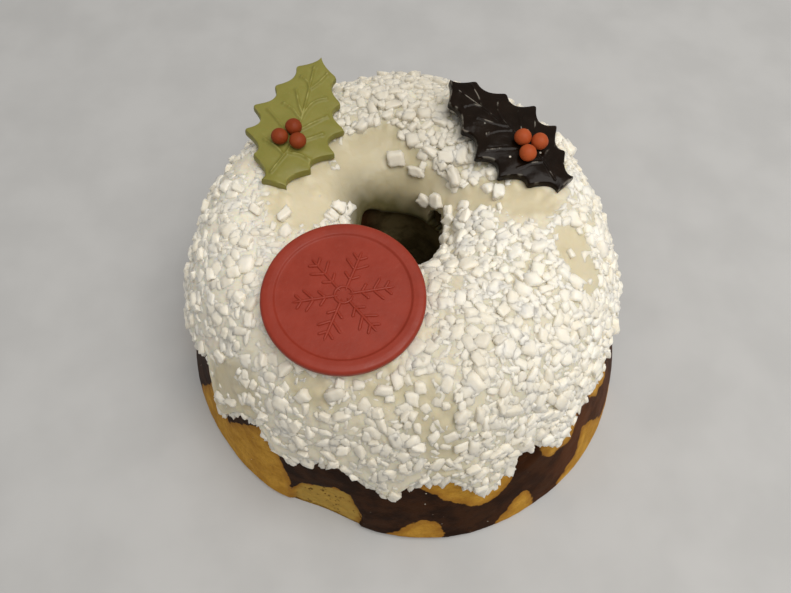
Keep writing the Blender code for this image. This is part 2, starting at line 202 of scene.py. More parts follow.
# How deep the edge bites in between two spines, and between the stalk and the first one
LEAF_BITE = 0.55
LEAF_NECK_BITE = 0.75
LEAF_FOOT = (0.045, 0.25)
LEAF_SPINES = ((0.19, 0.61), (0.34, 0.97), (0.52, 1.0), (0.70, 0.73), (0.885, 0.45))
# The leaves: place, heading, rise and roll in degrees; the green one is wider by its spread
GREEN_SPREAD = 1.08
GREEN_LEAF = ((-35.8 * MM, 31.5 * MM, 85.6 * MM), -12.9, 4.5, 7.1)
DARK_LEAF = ((34.0 * MM, 26.6 * MM, 86.6 * MM), 45.5, 8.0, -4.0)
# The midrib, then the side veins from it outwards: across and along the leaf in mm
LEAF_VEINS = (
    ((-2, -22), (-0.6, -17), (1.3, -12), (1.7, -6), (1.2, 0), (0.6, 8), (0, 13), (-1, 22)),
    ((0, 13), (-1.2, 15.4), (-4, 17)),
    ((0.6, 13.2), (2.4, 16.5), (4, 21)),
    ((1, 2), (-1.3, 5.5), (-4, 11)),
    ((1, 0), (-2.5, 3), (-6.2, 4.6)),
    ((0, -7.5), (-4, -4.5), (-6.5, -2.2), (-10.3, 0.4)),
    ((1.2, 1.5), (2, 6), (3.6, 9), (6.5, 11)),
    ((1.7, -4.5), (4.9, -0.5), (9, 4.2)),
    ((1.7, -9.5), (5.6, -6.5), (9.4, -3)),
    ((1, -13.6), (4.9, -13), (8.6, -13.8)),
    ((0.2, -15), (-3.5, -12.4), (-7.6, -11)),
)
BERRY_RADIUS = 2.75 * MM
BERRY_SQUASH = 0.88
BERRY_PLACES = ((-5.0 * MM, 0.3 * MM), (-10.0 * MM, -2.8 * MM), (-9.7 * MM, 3.2 * MM))
BERRY_HEIGHT = 2.7 * MM
BERRY_LIFT = 0.35 * MM
BERRY_UNEVENNESS = 0.035

# ---- how icing and nibs vary round the cake: direction, half width in degrees, weight

DENSE_NIBS = ((340, 60, 0.25), (190, 40, 0.25))
PROUD_NIBS = ((330, 70, 0.12), (92, 40, 0.16))
# Nibs duller where wet with icing, and darkened by painted shade at the back, front and left
WET_AND_SHADED_NIBS = ((200, 50, 0.4), (268, 42, 0.75), (92, 55, 1.0))
# The nibs stop inside the hole at this place on the section, and earlier by these weights
NIB_RIM = 2.91
NIB_RIM_RETREATS = ((38, 35, 0.22), (0, 18, 0.05), (120, 42, 0.4))
WHITE_ICING = ((195, 58, 0.55), (275, 40, 0.15))
# Painted shade: the icing's cream is darkened towards the back and the front
PAINTED_SHADE_ICING = ((92, 55, 0.8), (268, 42, 0.6))

# ---- fineness of the visible meshes

SPONGE_COLUMNS = 560
ICING_COLUMNS = 520
ICING_ROWS = 138
ICING_ROUNDING = 1.7 * MM


# ---- cross-section of the ring

def bezier(points, t):
    """Points of the cubic curve through four control points."""
    a, b, c, d = (np.array(p)[:, None] for p in points)
    s = 1 - t
    return a * s ** 3 + b * 3 * s * s * t + c * 3 * s * t * t + d * t ** 3


SHOULDER_RADIUS = BASE_RADIUS - math.tan(WALL_TAPER) * SHOULDER_HEIGHT
RISE = CREST_HEIGHT - SHOULDER_HEIGHT
OUTER_CURVE = (
    (SHOULDER_RADIUS, SHOULDER_HEIGHT),
    (
        SHOULDER_RADIUS - math.sin(WALL_TAPER) * WALL_PULL * RISE,
        SHOULDER_HEIGHT + math.cos(WALL_TAPER) * WALL_PULL * RISE,
    ),
    (CREST_RADIUS + (SHOULDER_RADIUS - CREST_RADIUS) * CREST_PULL, CREST_HEIGHT),
    (CREST_RADIUS, CREST_HEIGHT),
)
INNER_CURVE = (
    (CREST_RADIUS, CREST_HEIGHT),
    (CREST_RADIUS - THROAT_PULL, CREST_HEIGHT),
    (THROAT_RADIUS + THROAT_FLARE, CREST_HEIGHT - THROAT_FLARE),
    (THROAT_RADIUS, THROAT_HEIGHT),
)


def section(u):
    """Radii and heights of the sponge's section: u runs from the outer base, 0, over the shoulder,
    1, the crest, 2, and the throat, 3, to the bore's foot, 4."""
    u = np.atleast_1d(np.asarray(u, float)).ravel()
    wall = np.array((
        BASE_RADIUS + (SHOULDER_RADIUS - BASE_RADIUS) * u,
        SHOULDER_HEIGHT * u,
    ))
    bore = np.array((
        THROAT_RADIUS + (BORE_FOOT_RADIUS - THROAT_RADIUS) * (u - 3),
        THROAT_HEIGHT * (4 - u),
    ))
    outer = bezier(OUTER_CURVE, u - 1)
    inner = bezier(INNER_CURVE, u - 2)
    return np.where(u <= 1, wall, np.where(u <= 2, outer, np.where(u <= 3, inner, bore)))


def section_offset(u, distance):
    """The section moved outwards by a distance."""
    step = 0.004
    u = np.atleast_1d(np.asarray(u, float)).ravel()
    run = section(np.minimum(u + step, 4)) - section(np.maximum(u - step, 0))
    run /= np.hypot(*run)
    return section(u) + np.array((run[1], -run[0])) * distance


def turned(azimuth, centre):
    """Degrees from a centre direction, from -180 to 180."""
    return (azimuth - centre + 180) % 360 - 180


def bell(away, reach):
    """1 at no distance, falling to 0 over a reach."""
    return np.exp(-(away / reach) ** 2)


def around(azimuth, centre, half):
    """1 near a direction, falling to 0 over a half width in degrees."""
    return bell(turned(azimuth, centre), half)


def weighted(azimuth, weights):
    """Sum of weights near directions, each given by direction, half width in degrees and weight."""
    return sum(weight * around(azimuth, centre, half) for centre, half, weight in weights)


def directions(vectors):
    """Vectors brought to length 1."""
    return vectors / np.linalg.norm(vectors, axis=-1, keepdims=True)


def swell(azimuth, lumps, height=None):
    """Sum of the rounded lumps that each direction meets, in metres."""
    total = np.zeros(np.shape(azimuth))
    for lump in lumps:
        share = around(azimuth, *lump[:2])
        if height is not None:
            share = share * np.maximum(0, 1 - height / (lump[3] * MM))
        total = total + lump[2] * MM * share
    return total


def unit(values):
    """Values held between 0 and 1."""
    return np.clip(values, 0, 1)


def eased(share):
    """Shares from 0 to 1 with a smooth start and end."""
    share = unit(share)
    return share * share * (3 - 2 * share)


def ring_point(azimuth, radius, height):
    """Points of the ring, with the lumps of its wall and flank and the lean of its crown."""
    flank = eased(height / FLANK_FOOT) * eased((radius - CREST_RADIUS) / FLANK_CREST)
    lumps = swell(azimuth, WALL_LUMPS, height) + swell(azimuth, FLANK_LUMPS) * flank
    radius = np.where(radius > CREST_RADIUS, radius + lumps, radius)
    turn = np.radians(azimuth)
    lean = CROWN_LEAN * height / CREST_HEIGHT
    out = np.stack((radius * np.cos(turn) + lean, radius * np.sin(turn), height + 0 * turn), -1)
    return FOOT_CENTRE + out


def section_at_height(height, low, high):
    """The u between low and high where the section reaches each height."""
    low = np.full(np.shape(height), float(low))
    high = np.full(np.shape(height), float(high))
    rising = section(high[:1])[1] > section(low[:1])[1]
    for _ in range(40):
        middle = (low + high) / 2
        below = (section(middle)[1] < height) == rising
        low = np.where(below, middle, low)
        high = np.where(below, high, middle)
    return (low + high) / 2


def icing_span(azimuth):
    """The u at which the icing starts and ends in each direction."""
    outer = EDGE_HEIGHT - swell(azimuth, OUTER_DRIPS)
    inner = INNER_EDGE_HEIGHT - swell(azimuth, INNER_DRIPS)
    return section_at_height(outer, 0, 2), section_at_height(inner, 2, 4)


def icing_swell(azimuth, u):
    """Slow waves of the icing's surface."""
    turn = np.radians(azimuth)
    waves = np.sin(5 * turn + 3.1 * u) + 0.7 * np.sin(9 * turn - 4.3 * u + 1.2)
    return ICING_LUMP * waves * np.sin(math.pi * unit(u / 3.5)) ** 2


def offset_point(azimuth, u, distance):
    """Points of the ring at a distance out of its section."""
    return ring_point(azimuth, *section_offset(u, distance))


def icing_surface(azimuth, u, extra=0):
    """Points of the icing's outer surface away from its edges."""
    thickness = ICING_GAP + ICING_THICKNESS + icing_swell(azimuth, u)
    return offset_point(azimuth, u, thickness + extra)


def icing_normal(azimuth, u):
    """Outward directions of the icing's surface."""
    along = icing_surface(azimuth, u + 0.01) - icing_surface(azimuth, u - 0.01)
    across = icing_surface(azimuth + 0.5, u) - icing_surface(azimuth - 0.5, u)
    return directions(np.cross(across, along))


# ---- noise and mesh helpers

def noise_places(points, size, seed):
    """Points in units of a feature's size in mm, in a part of the noise that the seed picks."""
    shift = Vector((seed * 7.31, seed * 3.17, seed * 5.73))
    return [Vector(p) + shift for p in np.asarray(points, float) / (size * MM)]


def roughness(points, size, seed=0, detail=3):
    """Fractal noise of about -1 to 1 at each point, with features of a size in mm."""
    return np.array([noise.fractal(p, 0.8, 2.1, detail) for p in noise_places(points, size, seed)])


def cells(points, size, seed=0):
    """Distance to the nearest of scattered points, in parts of their spacing in mm."""
    return np.array([noise.voronoi(p)[0][0] for p in noise_places(points, size, seed)])


def linked(name, data):
    """A new object of the scene."""
    thing = bpy.data.objects.new(name, data)
    bpy.context.scene.collection.objects.link(thing)
    return thing


def mesh_object(name, points, faces, paint, smooth=180):
    """A shaded mesh object from an array of points and one or more arrays of faces."""
    mesh = bpy.data.meshes.new(name)
    faces = faces if isinstance(faces, list) else [faces]
    corners = np.concatenate([f.ravel() for f in faces])
    totals = np.concatenate([np.full(len(f), f.shape[1]) for f in faces])
    starts = np.concatenate(([0], np.cumsum(totals)[:-1]))
    mesh.vertices.add(len(points))
    mesh.vertices.foreach_set("co", np.asarray(points, np.float32).ravel())
    mesh.loops.add(len(corners))
    mesh.loops.foreach_set("vertex_index", corners.astype(np.int32))
    mesh.polygons.add(len(totals))
    mesh.polygons.foreach_set("loop_start", starts.astype(np.int32))
    mesh.update(calc_edges=True)
    mesh.validate()
    mesh.materials.append(paint)
    mesh.shade_smooth()
    if smooth < 180:
        mesh.set_sharp_from_angle(angle=math.radians(smooth))
    return linked(name, mesh)


def add_values(piece, **layers):
    """Store named numbers for each of a piece's first points, and 0 for the rest."""
    for name, values in layers.items():
        layer = piece.data.attributes.new(name, "FLOAT", "POINT")
        rest = len(piece.data.vertices) - len(values)
        layer.data.foreach_set("value", np.pad(np.asarray(values, np.float32), (0, rest)))


def grid_faces(rows, columns, close_rows=False, close_columns=False):
    """Quads between rows of points; the last row or column may join the first."""
    row = np.arange(rows if close_rows else rows - 1)[:, None]
    column = np.arange(columns if close_columns else columns - 1)[None, :]
    here, after = row * columns, (row + 1) % rows * columns
    beside = (column + 1) % columns
    quads = (here + column, here + beside, after + beside, after + column)
    return np.stack(quads, -1).reshape(-1, 4)


def smoothed(row):
    """A row of values or points, each inner one drawn towards its neighbours."""
    row = row.copy()
    row[1:-1] = 0.25 * row[:-2] + 0.5 * row[1:-1] + 0.25 * row[2:]
    return row


# ---- materials

# Colours; a pair is mottled from the first to the second
GOLDEN = (0.42, 0.205, 0.024), (0.57, 0.305, 0.042)
GOLDEN_GRAIN = (0.22, 0.085, 0.014)
GOLDEN_CRUMB = (0.44, 0.275, 0.062)
BAKED_GOLDEN = (0.23, 0.082, 0.012)
COCOA = (0.018, 0.0070, 0.003), (0.043, 0.0165, 0.0062)
COCOA_CRUMB = (0.028, 0.011, 0.005)
# Reddish cocoa streaks, partly painted light on the right-hand side
WARM_LIT_COCOA = (0.115, 0.038, 0.013)
BORE_COCOA = (0.10, 0.075, 0.032), (0.19, 0.15, 0.070)
# Painted shade inside the crumb's pores
PORE_SHADE = (0.08, 0.030, 0.009)
SUGAR_SPECK = (0.80, 0.74, 0.62)
CREAM = (0.64, 0.56, 0.375), (0.70, 0.625, 0.44)
# Painted shade for the icing at the back and the front
PAINTED_SHADE_CREAM = (0.44, 0.385, 0.24)
SUGARED_CREAM = (0.85, 0.79, 0.655)
# Thin icing over dark cake, partly painted shade inside the hole
THIN_SHADED_CREAM = (0.085, 0.072, 0.024)
SUGAR = (0.94, 0.88, 0.745), (0.97, 0.925, 0.82)
# Duller sugar: wet with icing, partly painted shade
WET_SHADED_SUGAR = (0.62, 0.575, 0.475)
SUGAR_DUST = (0.75, 0.70, 0.60)
# Chocolates: mottle of two colours, bloom, painted glint on ridge tops and rims (None for none)
RED = (0.25, 0.026, 0.0105), (0.28, 0.031, 0.0135), (0.32, 0.050, 0.028), None
GREEN = (0.20, 0.185, 0.034), (0.225, 0.207, 0.043), (0.28, 0.26, 0.08), (0.36, 0.34, 0.11)
DARK = (0.007, 0.0038, 0.002), (0.011, 0.006, 0.0032), (0.013, 0.0078, 0.005), (0.34, 0.31, 0.26)
BERRY_BLOOM = (0.34, 0.10, 0.025)
DEEP_BERRY = (0.20, 0.030, 0.006), (0.24, 0.042, 0.009), BERRY_BLOOM, None
BRIGHT_BERRY = (0.35, 0.060, 0.015), (0.41, 0.082, 0.021), BERRY_BLOOM, None
FLOOR = (0.46, 0.46, 0.455), (0.50, 0.50, 0.495)


class Wiring:
    """A small helper that wires the nodes of a material or a world."""

    def __init__(self, owner):
        owner.use_nodes = True
        self.tree = owner.node_tree

    def feed(self, node, inputs):
        """Link a node's inputs to outputs, or set their values."""
        for key, value in inputs.items():
            if isinstance(value, bpy.types.NodeSocket):
                self.tree.links.new(value, node.inputs[key])
            else:
                node.inputs[key].default_value = value

    def node(self, kind, output, inputs=None, **settings):
        """Add a node, set it up, feed its inputs and return one of its outputs."""
        node = self.tree.nodes.new("ShaderNode" + kind)
        for key, value in settings.items():
            setattr(node, key, value)
        self.feed(node, inputs or {})
        return node.outputs[output]


class Shader(Wiring):
    """A material of one principled surface, with the radius to which light seeps in each colour."""

    def __init__(self, name, radius=(1.0, 0.2, 0.1), **settings):
        self.material = bpy.data.materials.new(name)
        super().__init__(self.material)
        self.principled = self.tree.nodes["Principled BSDF"]
        settings = {key.replace("_", " "): value for key, value in settings.items()}
        self.feed(self.principled, {"Subsurface Radius": radius, **settings})
        self.place = self.node("TexCoord", "Object")

    def noise(self, scale, detail=3.0, rough=0.5):
        """Noise with features of about 1/scale metres."""
        return self.node("TexNoise", "Fac", {
            "Vector": self.place, "Scale": scale, "Detail": detail, "Roughness": rough,
        })

    def dots(self, scale, wide, narrow, patches, share, full):
        """Round dots, 1/scale metres apart, in patches of a noise."""
        away = self.node("TexVoronoi", "Distance", {"Vector": self.place, "Scale": scale})
        return self.times(self.band(away, wide, narrow), self.band(patches, share, full))

    def values(self, name):
        """A number stored on the mesh."""
        return self.node("Attribute", "Fac", attribute_name=name)

    def maths(self, operation, a, b):
        return self.node("Math", 0, {0: a, 1: b}, operation=operation)

    def times(self, a, b):
        return self.maths("MULTIPLY", a, b)

    def plus(self, a, b):
        return self.maths("ADD", a, b)

    def band(self, value, low, high, out_low=0.0, out_high=1.0):
        """A value mapped smoothly from low..high to out_low..out_high."""
        ends = {"From Min": low, "From Max": high, "To Min": out_low, "To Max": out_high}
        return self.node("MapRange", "Result", {"Value": value, **ends},
                         interpolation_type="SMOOTHSTEP")

    def mix(self, share, a, b):
        """A colour between a and b."""
        a, b = (c if isinstance(c, bpy.types.NodeSocket) else (*c, 1) for c in (a, b))
        return self.node("Mix", 2, {"Factor": share, 6: a, 7: b}, data_type="RGBA")

    def mottle(self, value, pair, low=0.35, high=0.65):
        """A pair of colours mottled by a noise."""
        return self.mix(self.band(value, low, high), *pair)

    def finish(self, colour, rough, height=None, depth=0.0, strength=1.0):
        """Feed the surface its colour, its roughness and its relief, and return the material."""
        self.feed(self.principled, {"Base Color": colour, "Roughness": rough})
        if height:
            relief = {"Strength": strength, "Distance": depth, "Height": height}
            self.feed(self.principled, {"Normal": self.node("Bump", "Normal", relief)})
        return self.material


def sponge_paint():
    """Golden and cocoa crust with sharp swirl edges, reddish streaks partly painted light on the
    right, and open crumb where it is torn, its pores darkened with painted shade.
    """
    s = Shader("marbled crust", (1.0, 0.5, 0.25), Roughness=0.6, Specular_IOR_Level=0.03,
               Subsurface_Weight=0.08, Subsurface_Scale=0.0015)
    wobble = s.times(s.maths("SUBTRACT", s.noise(330, 4), 0.5), 2.4)
    fine = s.times(s.maths("SUBTRACT", s.noise(1500, 2), 0.5), 0.7)
    edge = s.plus(s.plus(s.values("cocoa"), wobble), fine)
    crumb = s.values("crumb")
    mottle = s.noise(140, 4, 0.6)

    golden = s.mottle(mottle, GOLDEN)
    golden = s.mix(s.band(s.noise(900, 3, 0.6), 0.45, 0.75, 0.0, 0.35), golden, GOLDEN_GRAIN)
    golden = s.mix(crumb, golden, GOLDEN_CRUMB)
    golden = s.mix(s.times(s.band(edge, -3.4, -0.2), 0.5), golden, BAKED_GOLDEN)

    brown = s.mix(crumb, s.mottle(mottle, COCOA), COCOA_CRUMB)
    # Reddish streaks on the right, partly painted light from that side
    streak = s.times(s.values("warm"), s.band(s.noise(75, 3), 0.4, 0.6, 0.35, 1.0))
    brown = s.mix(streak, brown, WARM_LIT_COCOA)
    brown = s.mix(s.values("bore"), brown, s.mottle(mottle, BORE_COCOA, 0.35, 0.6))

    open_crumb = s.dots(620, 0.34, 0.2, s.noise(150, 3), 0.5, 0.6)
    wide_crumb = s.dots(240, 0.24, 0.16, s.noise(90, 2), 0.5, 0.58)
    hole = s.times(s.maths("MAXIMUM", open_crumb, wide_crumb), crumb)
    base = s.mix(s.band(edge, -0.3, 0.3), golden, brown)
    # Painted shade: the crumb's pores are darkened
    base = s.mix(s.times(hole, 0.75), base, PORE_SHADE)
    base = s.mix(s.dots(260, 0.075, 0.045, s.noise(60, 2), 0.5, 0.6), base, SUGAR_SPECK)
    rough = s.mix(crumb, (0.55, 0.55, 0.55), (0.9, 0.9, 0.9))
    relief = s.plus(s.times(s.noise(1400, 3, 0.6), 0.6), s.times(hole, -1.5))
    return s.finish(base, rough, relief, 0.00035, 0.55)


def icing_paint():
    """Cream-white set icing, softly translucent; darkened by painted shade at the back and front,
    sugared, and dark near its edge inside the hole, partly thin icing over dark cake and partly
    painted shade, as its values say.
    """
    s = Shader("cream icing", (1.0, 0.75, 0.45), Roughness=0.38, Subsurface_Weight=0.6,
               Subsurface_Scale=0.0035, IOR=1.42)
    # Painted shade: the cream darkens towards the back and the front
    cream = s.mix(s.values("painted_shade"), s.mottle(s.noise(45, 3), CREAM), PAINTED_SHADE_CREAM)
    body = s.mix(s.values("sugared"), cream, SUGARED_CREAM)
    # Dark near its edge inside the hole: thin icing over dark cake, partly painted shade
    base = s.mix(s.values("thin"), body, THIN_SHADED_CREAM)
    rough = s.band(s.noise(160, 3), 0.3, 0.7, 0.32, 0.5)
    relief = s.plus(s.noise(220, 4), s.times(s.noise(1200, 2), 0.15))
    return s.finish(base, rough, relief, 0.0006, 0.35)


def sugar_paint():
    """White sugar, slightly translucent and dry, duller where it is wet with icing and darkened by
    painted shade at the back, front and left.
    """
    s = Shader("white sugar", (1.0, 0.92, 0.8), Roughness=0.5, Subsurface_Weight=0.45,
               Subsurface_Scale=0.0014, Sheen_Weight=0.3, Sheen_Roughness=0.5)
    base = s.mix(s.times(s.values("wet"), 0.8), s.mottle(s.noise(120, 2), SUGAR), WET_SHADED_SUGAR)
    rough = s.band(s.noise(900, 3), 0.3, 0.7, 0.35, 0.65)
    return s.finish(base, rough, s.noise(1100, 4, 0.6), 0.0003, 0.35)


def chocolate_paint(name, colours, rough, shine, dusted=0.0):
    """Moulded chocolate: mottle, faint bloom, stray sugar dust, painted glints on ridge tops and
    rims, an uneven skin.
    """
    dark, light, bloom, glint_colour = colours
    s = Shader(name, Roughness=rough, Specular_IOR_Level=shine, Subsurface_Weight=0.05,
               Subsurface_Scale=0.001)
    base = s.mottle(s.noise(130, 4, 0.55), (dark, light), 0.3, 0.7)
    base = s.mix(s.times(s.band(s.noise(420, 4, 0.7), 0.55, 0.8), 0.5), base, bloom)
    if dusted:
        speck = s.dots(230, 0.10, 0.06, s.noise(70, 2), 0.5, 0.56)
        base = s.mix(s.times(speck, dusted), base, SUGAR_DUST)
    if glint_colour:
        # Painted highlight: lighter glints along the vein tops and the rim
        ridge = s.times(s.values("ridge"), s.band(s.noise(260, 2), 0.5, 0.62))
        base = s.mix(s.times(ridge, 0.8), base, glint_colour)
    unevenness = s.band(s.noise(260, 3), 0.3, 0.7, rough - 0.06, rough + 0.08)
    return s.finish(base, unevenness, s.noise(500, 4, 0.6), 0.00025, 0.35)


# ---- sponge

# Golden batter on the cocoa wall: outlines, each corner with its direction and height in mm
GOLDEN_SHAPES = (
    ((203, -4), (204, 6), (207, 15), (211, 27), (214, 33), (217, 24.5), (219.5, 20.5), (224, 27),
     (229.5, 37), (234, 43), (237.5, 32), (239, 28), (241, 14), (241.6, 3), (241, -4)),
    ((242, -4), (242, 6), (242.5, 13), (245, 20), (250.5, 24), (254.5, 27), (257, 25), (259, 16),
     (260, 9), (258.5, -4)),
    ((266.5, 1.8), (267.5, 3.5), (271, 9), (275, 15.5), (278, 14), (279, 7), (278.5, 2.8),
     (272, 1.6)),
    ((272, 50), (273.5, 41), (276, 36.5), (279.5, 30), (284.5, 24), (288, 20), (291, 21),
     (294.5, 25), (297, 29.5), (298, 37), (298, 50)),
    ((291.5, -4), (292, 3), (294, 7.5), (297, 13.5), (299, 15.8), (301.3, 12.5), (301.5, 4),
     (302, -4)),
    ((305, 50), (306, 36), (307.5, 28), (309, 26), (311.5, 27), (315.5, 24), (317.5, 28),
     (318.5, 35), (319, 50)),
    ((309, -4), (309.5, 4), (313, 7.8), (316, 9.5), (318, 13.5), (320.6, 21), (324.5, 15.5),
     (328, 9.5), (331, 5.5), (335.5, 3.8), (339, 4.8), (345, 5), (346, -4)),
    ((323, 50), (325, 35), (327.5, 28.5), (329, 26), (332, 26), (334.5, 23), (336.5, 21.5),
     (338.5, 27), (340, 50)),
)
# Open crumb: the torn golden dome and a porous cocoa patch, with how deep each lies
TORN_PATCHES = (
    (GOLDEN_SHAPES[1], 1.3 * MM),
    (((296.5, 48), (297, 36), (299, 31), (302, 30), (305, 34), (305, 48)), 0.8 * MM),
)
WALL_SCALE = 1.5  # mm of wall for each degree
BATTER_ROUNDING = 0.7
# Directions of the far side, which a seeded rule fills
HIDDEN_SIDE = (-14, 190)
SHAPE_SEED = 8
# The foot's rounded rim: distance in from the base's edge and height
FOOT_RIM = ((30, 0), (8, 0), (3.4, 0), (2.0, 0.2), (1.3, 0.8), (1.0, 1.7))
CRUMB_ROUGHNESS = 0.5 * MM
CRUMB_PITS = 1.1 * MM
CRUST_RELIEF = 0.16 * MM
FOOT_WEAR = 0.6 * MM
FOOT_WEAR_HEIGHT = 3 * MM
BORE_RELIEF = 0.12 * MM


def shape_depth(across, up, outline):
    """How deep in mm each unrolled wall point lies inside an outline; negative outside."""
    corners = np.array(outline, float) * (WALL_SCALE, 1)
    nearest = np.full(across.shape, 1e9)
    inside = np.zeros(across.shape, bool)
    for (x0, y0), (x1, y1) in zip(corners, np.roll(corners, -1, 0)):
        dx, dy = x1 - x0, y1 - y0
        share = unit(((across - x0) * dx + (up - y0) * dy) / (dx * dx + dy * dy))
        nearest = np.minimum(nearest, np.hypot(across - x0 - share * dx, up - y0 - share * dy))
        if dy:
            crossing = ((y0 > up) != (y1 > up)) & (across < x0 + (up - y0) * dx / dy)
            inside ^= crossing
    return np.where(inside, nearest, -nearest) + BATTER_ROUNDING


def hidden_shapes():
    """Golden shapes for the sides away from the front, drawn by a seeded rule."""
    draw = random.Random(SHAPE_SEED)
    shapes = []
    azimuth = HIDDEN_SIDE[0]
    while azimuth < HIDDEN_SIDE[1]:
        half = draw.uniform(4, 15)
        skew = draw.uniform(-9, 9)
        kind = draw.choice(("dome", "wedge", "panel", "pair"))
        centre = azimuth + half
        if kind in ("dome", "pair"):
            top = draw.uniform(7, 23)
            shares = ((-1, -4), (-0.85, 2), (-0.45, 0.7 * top), (0.1, top), (0.5, 0.75 * top),
                      (0.9, 2), (1, -4))
            shapes.append([(centre + half * s + skew * max(z, 0) / 40, z) for s, z in shares])
        if kind in ("wedge", "pair"):
            tip = draw.uniform(16, 32)
            shares = ((-1, 50), (-0.8, 40), (-0.35, tip + 5), (0.1, tip), (0.4, tip + 3),
                      (0.8, 39), (0.9, 50))
            shapes.append([(centre + half * s + skew, z) for s, z in shares])
        if kind == "panel":
            shares = ((-0.9, -4), (-1, 8), (-0.6, 24), (-0.7, 50), (0.5, 50), (0.9, 30),
                      (0.7, 12), (1, -4))
            shapes.append([(centre + half * s + skew * z / 30, z) for s, z in shares])
        azimuth += 2 * half + draw.uniform(0, 11)
    return shapes


def unrolled(azimuth, height):
    """Distance round and up the wall in mm, from a little before the right-hand side."""
    return ((azimuth + 20) % 360 - 20) * WALL_SCALE, height / MM


def marbling(azimuth, height, points):
    """Depth in mm of each point inside the cocoa swirl; negative in the golden batter."""
    across, up = unrolled(azimuth, height)
    warp = 1.3 + 3.5 * around(azimuth, 88, 90)
    across, up = (
        place + warp * roughness(points, 13, seed, 2)
        + 0.45 * roughness(points, 3.5, seed + 2, 3)
        for place, seed in ((across, 3), (up, 4))
    )
    golden = np.full(azimuth.shape, -9.0)
    for shape in GOLDEN_SHAPES + tuple(hidden_shapes()):
        golden = np.maximum(golden, shape_depth(across, up, shape))
    return -golden


def torn_crumb(points, azimuth, height):
    """How torn each point of the wall is, from 0 to 1, and how deep it lies."""
    across, up = unrolled(azimuth, height)
    ragged = roughness(points, 5, 8, 3)
    crumb, dent = np.zeros((2, len(points)))
    for outline, depth in TORN_PATCHES:
        share = unit(shape_depth(across + ragged, up - ragged, outline) / 1.4)
        crumb = np.maximum(crumb, share)
        dent = np.maximum(dent, depth * share)
    return np.array((crumb, dent))


def build_sponge(paint):
    """The ring of cake with its crust, torn patches, ragged foot and centre hole."""
    foot = np.array([(BASE_RADIUS - inwards * MM, up * MM) for inwards, up in FOOT_RIM])
    wall = section(np.concatenate((
        np.arange(0.075, 1.0, 0.02), np.linspace(1, 1.6, 24), np.linspace(1.7, 2.9, 12),
    )))
    bore = section(np.linspace(2.95, 3.985, 60))
    end = np.array([(BORE_FOOT_RADIUS + 1.2 * MM, 0), (BORE_FOOT_RADIUS + 6 * MM, 0)])
    rows = np.concatenate((foot, wall.T, bore.T, end))
    azimuths = np.arange(SPONGE_COLUMNS) * 360 / SPONGE_COLUMNS
    azimuth, radius = np.meshgrid(azimuths, rows[:, 0])
    height = np.repeat(rows[:, 1:], SPONGE_COLUMNS, 1)
    points = ring_point(azimuth, radius, height)
    flat = points.reshape(-1, 3)
    azimuth, radius, height = azimuth.ravel(), radius.ravel(), height.ravel()
    outer = radius > CREST_RADIUS
    on_wall = outer & (height > 0.2 * MM)

    crumb, dent = torn_crumb(flat, azimuth, height) * on_wall
    pits = unit(0.42 - cells(flat, 2.6, 2)) * 2.4
    torn = crumb * (CRUMB_ROUGHNESS * roughness(flat, 3.5, 6, 4) - CRUMB_PITS * pits)
    skin = CRUST_RELIEF * (roughness(flat, 9, 7, 4) - 1.3)
    wear = unit(1 - height / FOOT_WEAR_HEIGHT) * FOOT_WEAR * (roughness(flat, 5, 9, 3) - 0.8)
    hole_skin = BORE_RELIEF * roughness(flat, 5, 1, 3) * (height > MM)
    push = np.where(outer, 0, hole_skin)
    push = np.where(on_wall, np.minimum(torn + skin - dent + wear, 0), push)
    outwards = directions((flat - FOOT_CENTRE) * (1, 1, 0)) * np.where(outer, 1, -1)[:, None]
    moved = flat + outwards * push[:, None]

    piece = mesh_object("sponge", moved, grid_faces(len(rows), SPONGE_COLUMNS, True, True), paint)
    bore_batter = 4 + 3 * roughness(flat, 14, 12, 2)
    cocoa = np.where(outer, marbling(azimuth, height, flat), bore_batter)
    # Partly painted light: the right-hand cocoa made warmer and lighter
    warm = 0.75 * around(azimuth, 326, 22) * on_wall
    shade = around(azimuth, 32, 20) * (height > 48 * MM)
    shade += around(azimuth, 150, 32) * (height > 44 * MM)
    bore = np.where(outer, 0, 1 - unit(shade))
    add_values(piece, cocoa=cocoa, crumb=crumb, warm=warm, bore=bore)
    return piece


# ---- icing

# The edge is thicker by a bead some way in from its end
EDGE_BEAD = 0.6 * MM
EDGE_BEAD_INSET = 3 * MM
EDGE_BEAD_WIDTH = 2.6 * MM
EDGE_DIP = 0.25 * MM
# Icing stands up round every nib: height of the collar and its reach
COLLAR_RISE = 0.9 * MM
COLLAR_REACH = 2.2 * MM
ICING_RELIEF = 0.20 * MM
# The thin curtain inside the hole hangs lower than its solid by these lumps
CURTAIN_SAG = ((150, 40, 2.2), (168, 18, 4.5))
# Inside the hole the icing thins out over this length, and the dark cake shows through; the
# darkening is partly painted shade of the curving wall
THIN_SHADE_REACH = 19 * MM
# Gaps in that curtain, in degrees and mm: direction, height, half width, half height
CURTAIN_GAPS = ((40, 59.5, 11, 4.4), (20, 54.5, 8, 2.6))
CURTAIN_GAP_DEPTH = 6 * MM
CURTAIN_START = 2.6
# The coat's underside lies this deep in the sponge
ICING_BITE = 0.3 * MM
ICING_BACK_ROWS = 26


def bare_depth(away):
    """Share of the way out of the nearest bare patch: under 1 inside it."""
    out = np.full(len(away), 9.0)
    for x, y, along, across, turn in BARE_PATCHES:
        angle = math.radians(turn)
        dx, dy = away[:, 0] - x * MM, away[:, 1] - y * MM
        s = (dx * math.cos(angle) + dy * math.sin(angle)) / (along * MM)
        t = (dy * math.cos(angle) - dx * math.sin(angle)) / (across * MM)
        out = np.minimum(out, np.hypot(s, t))
    return out


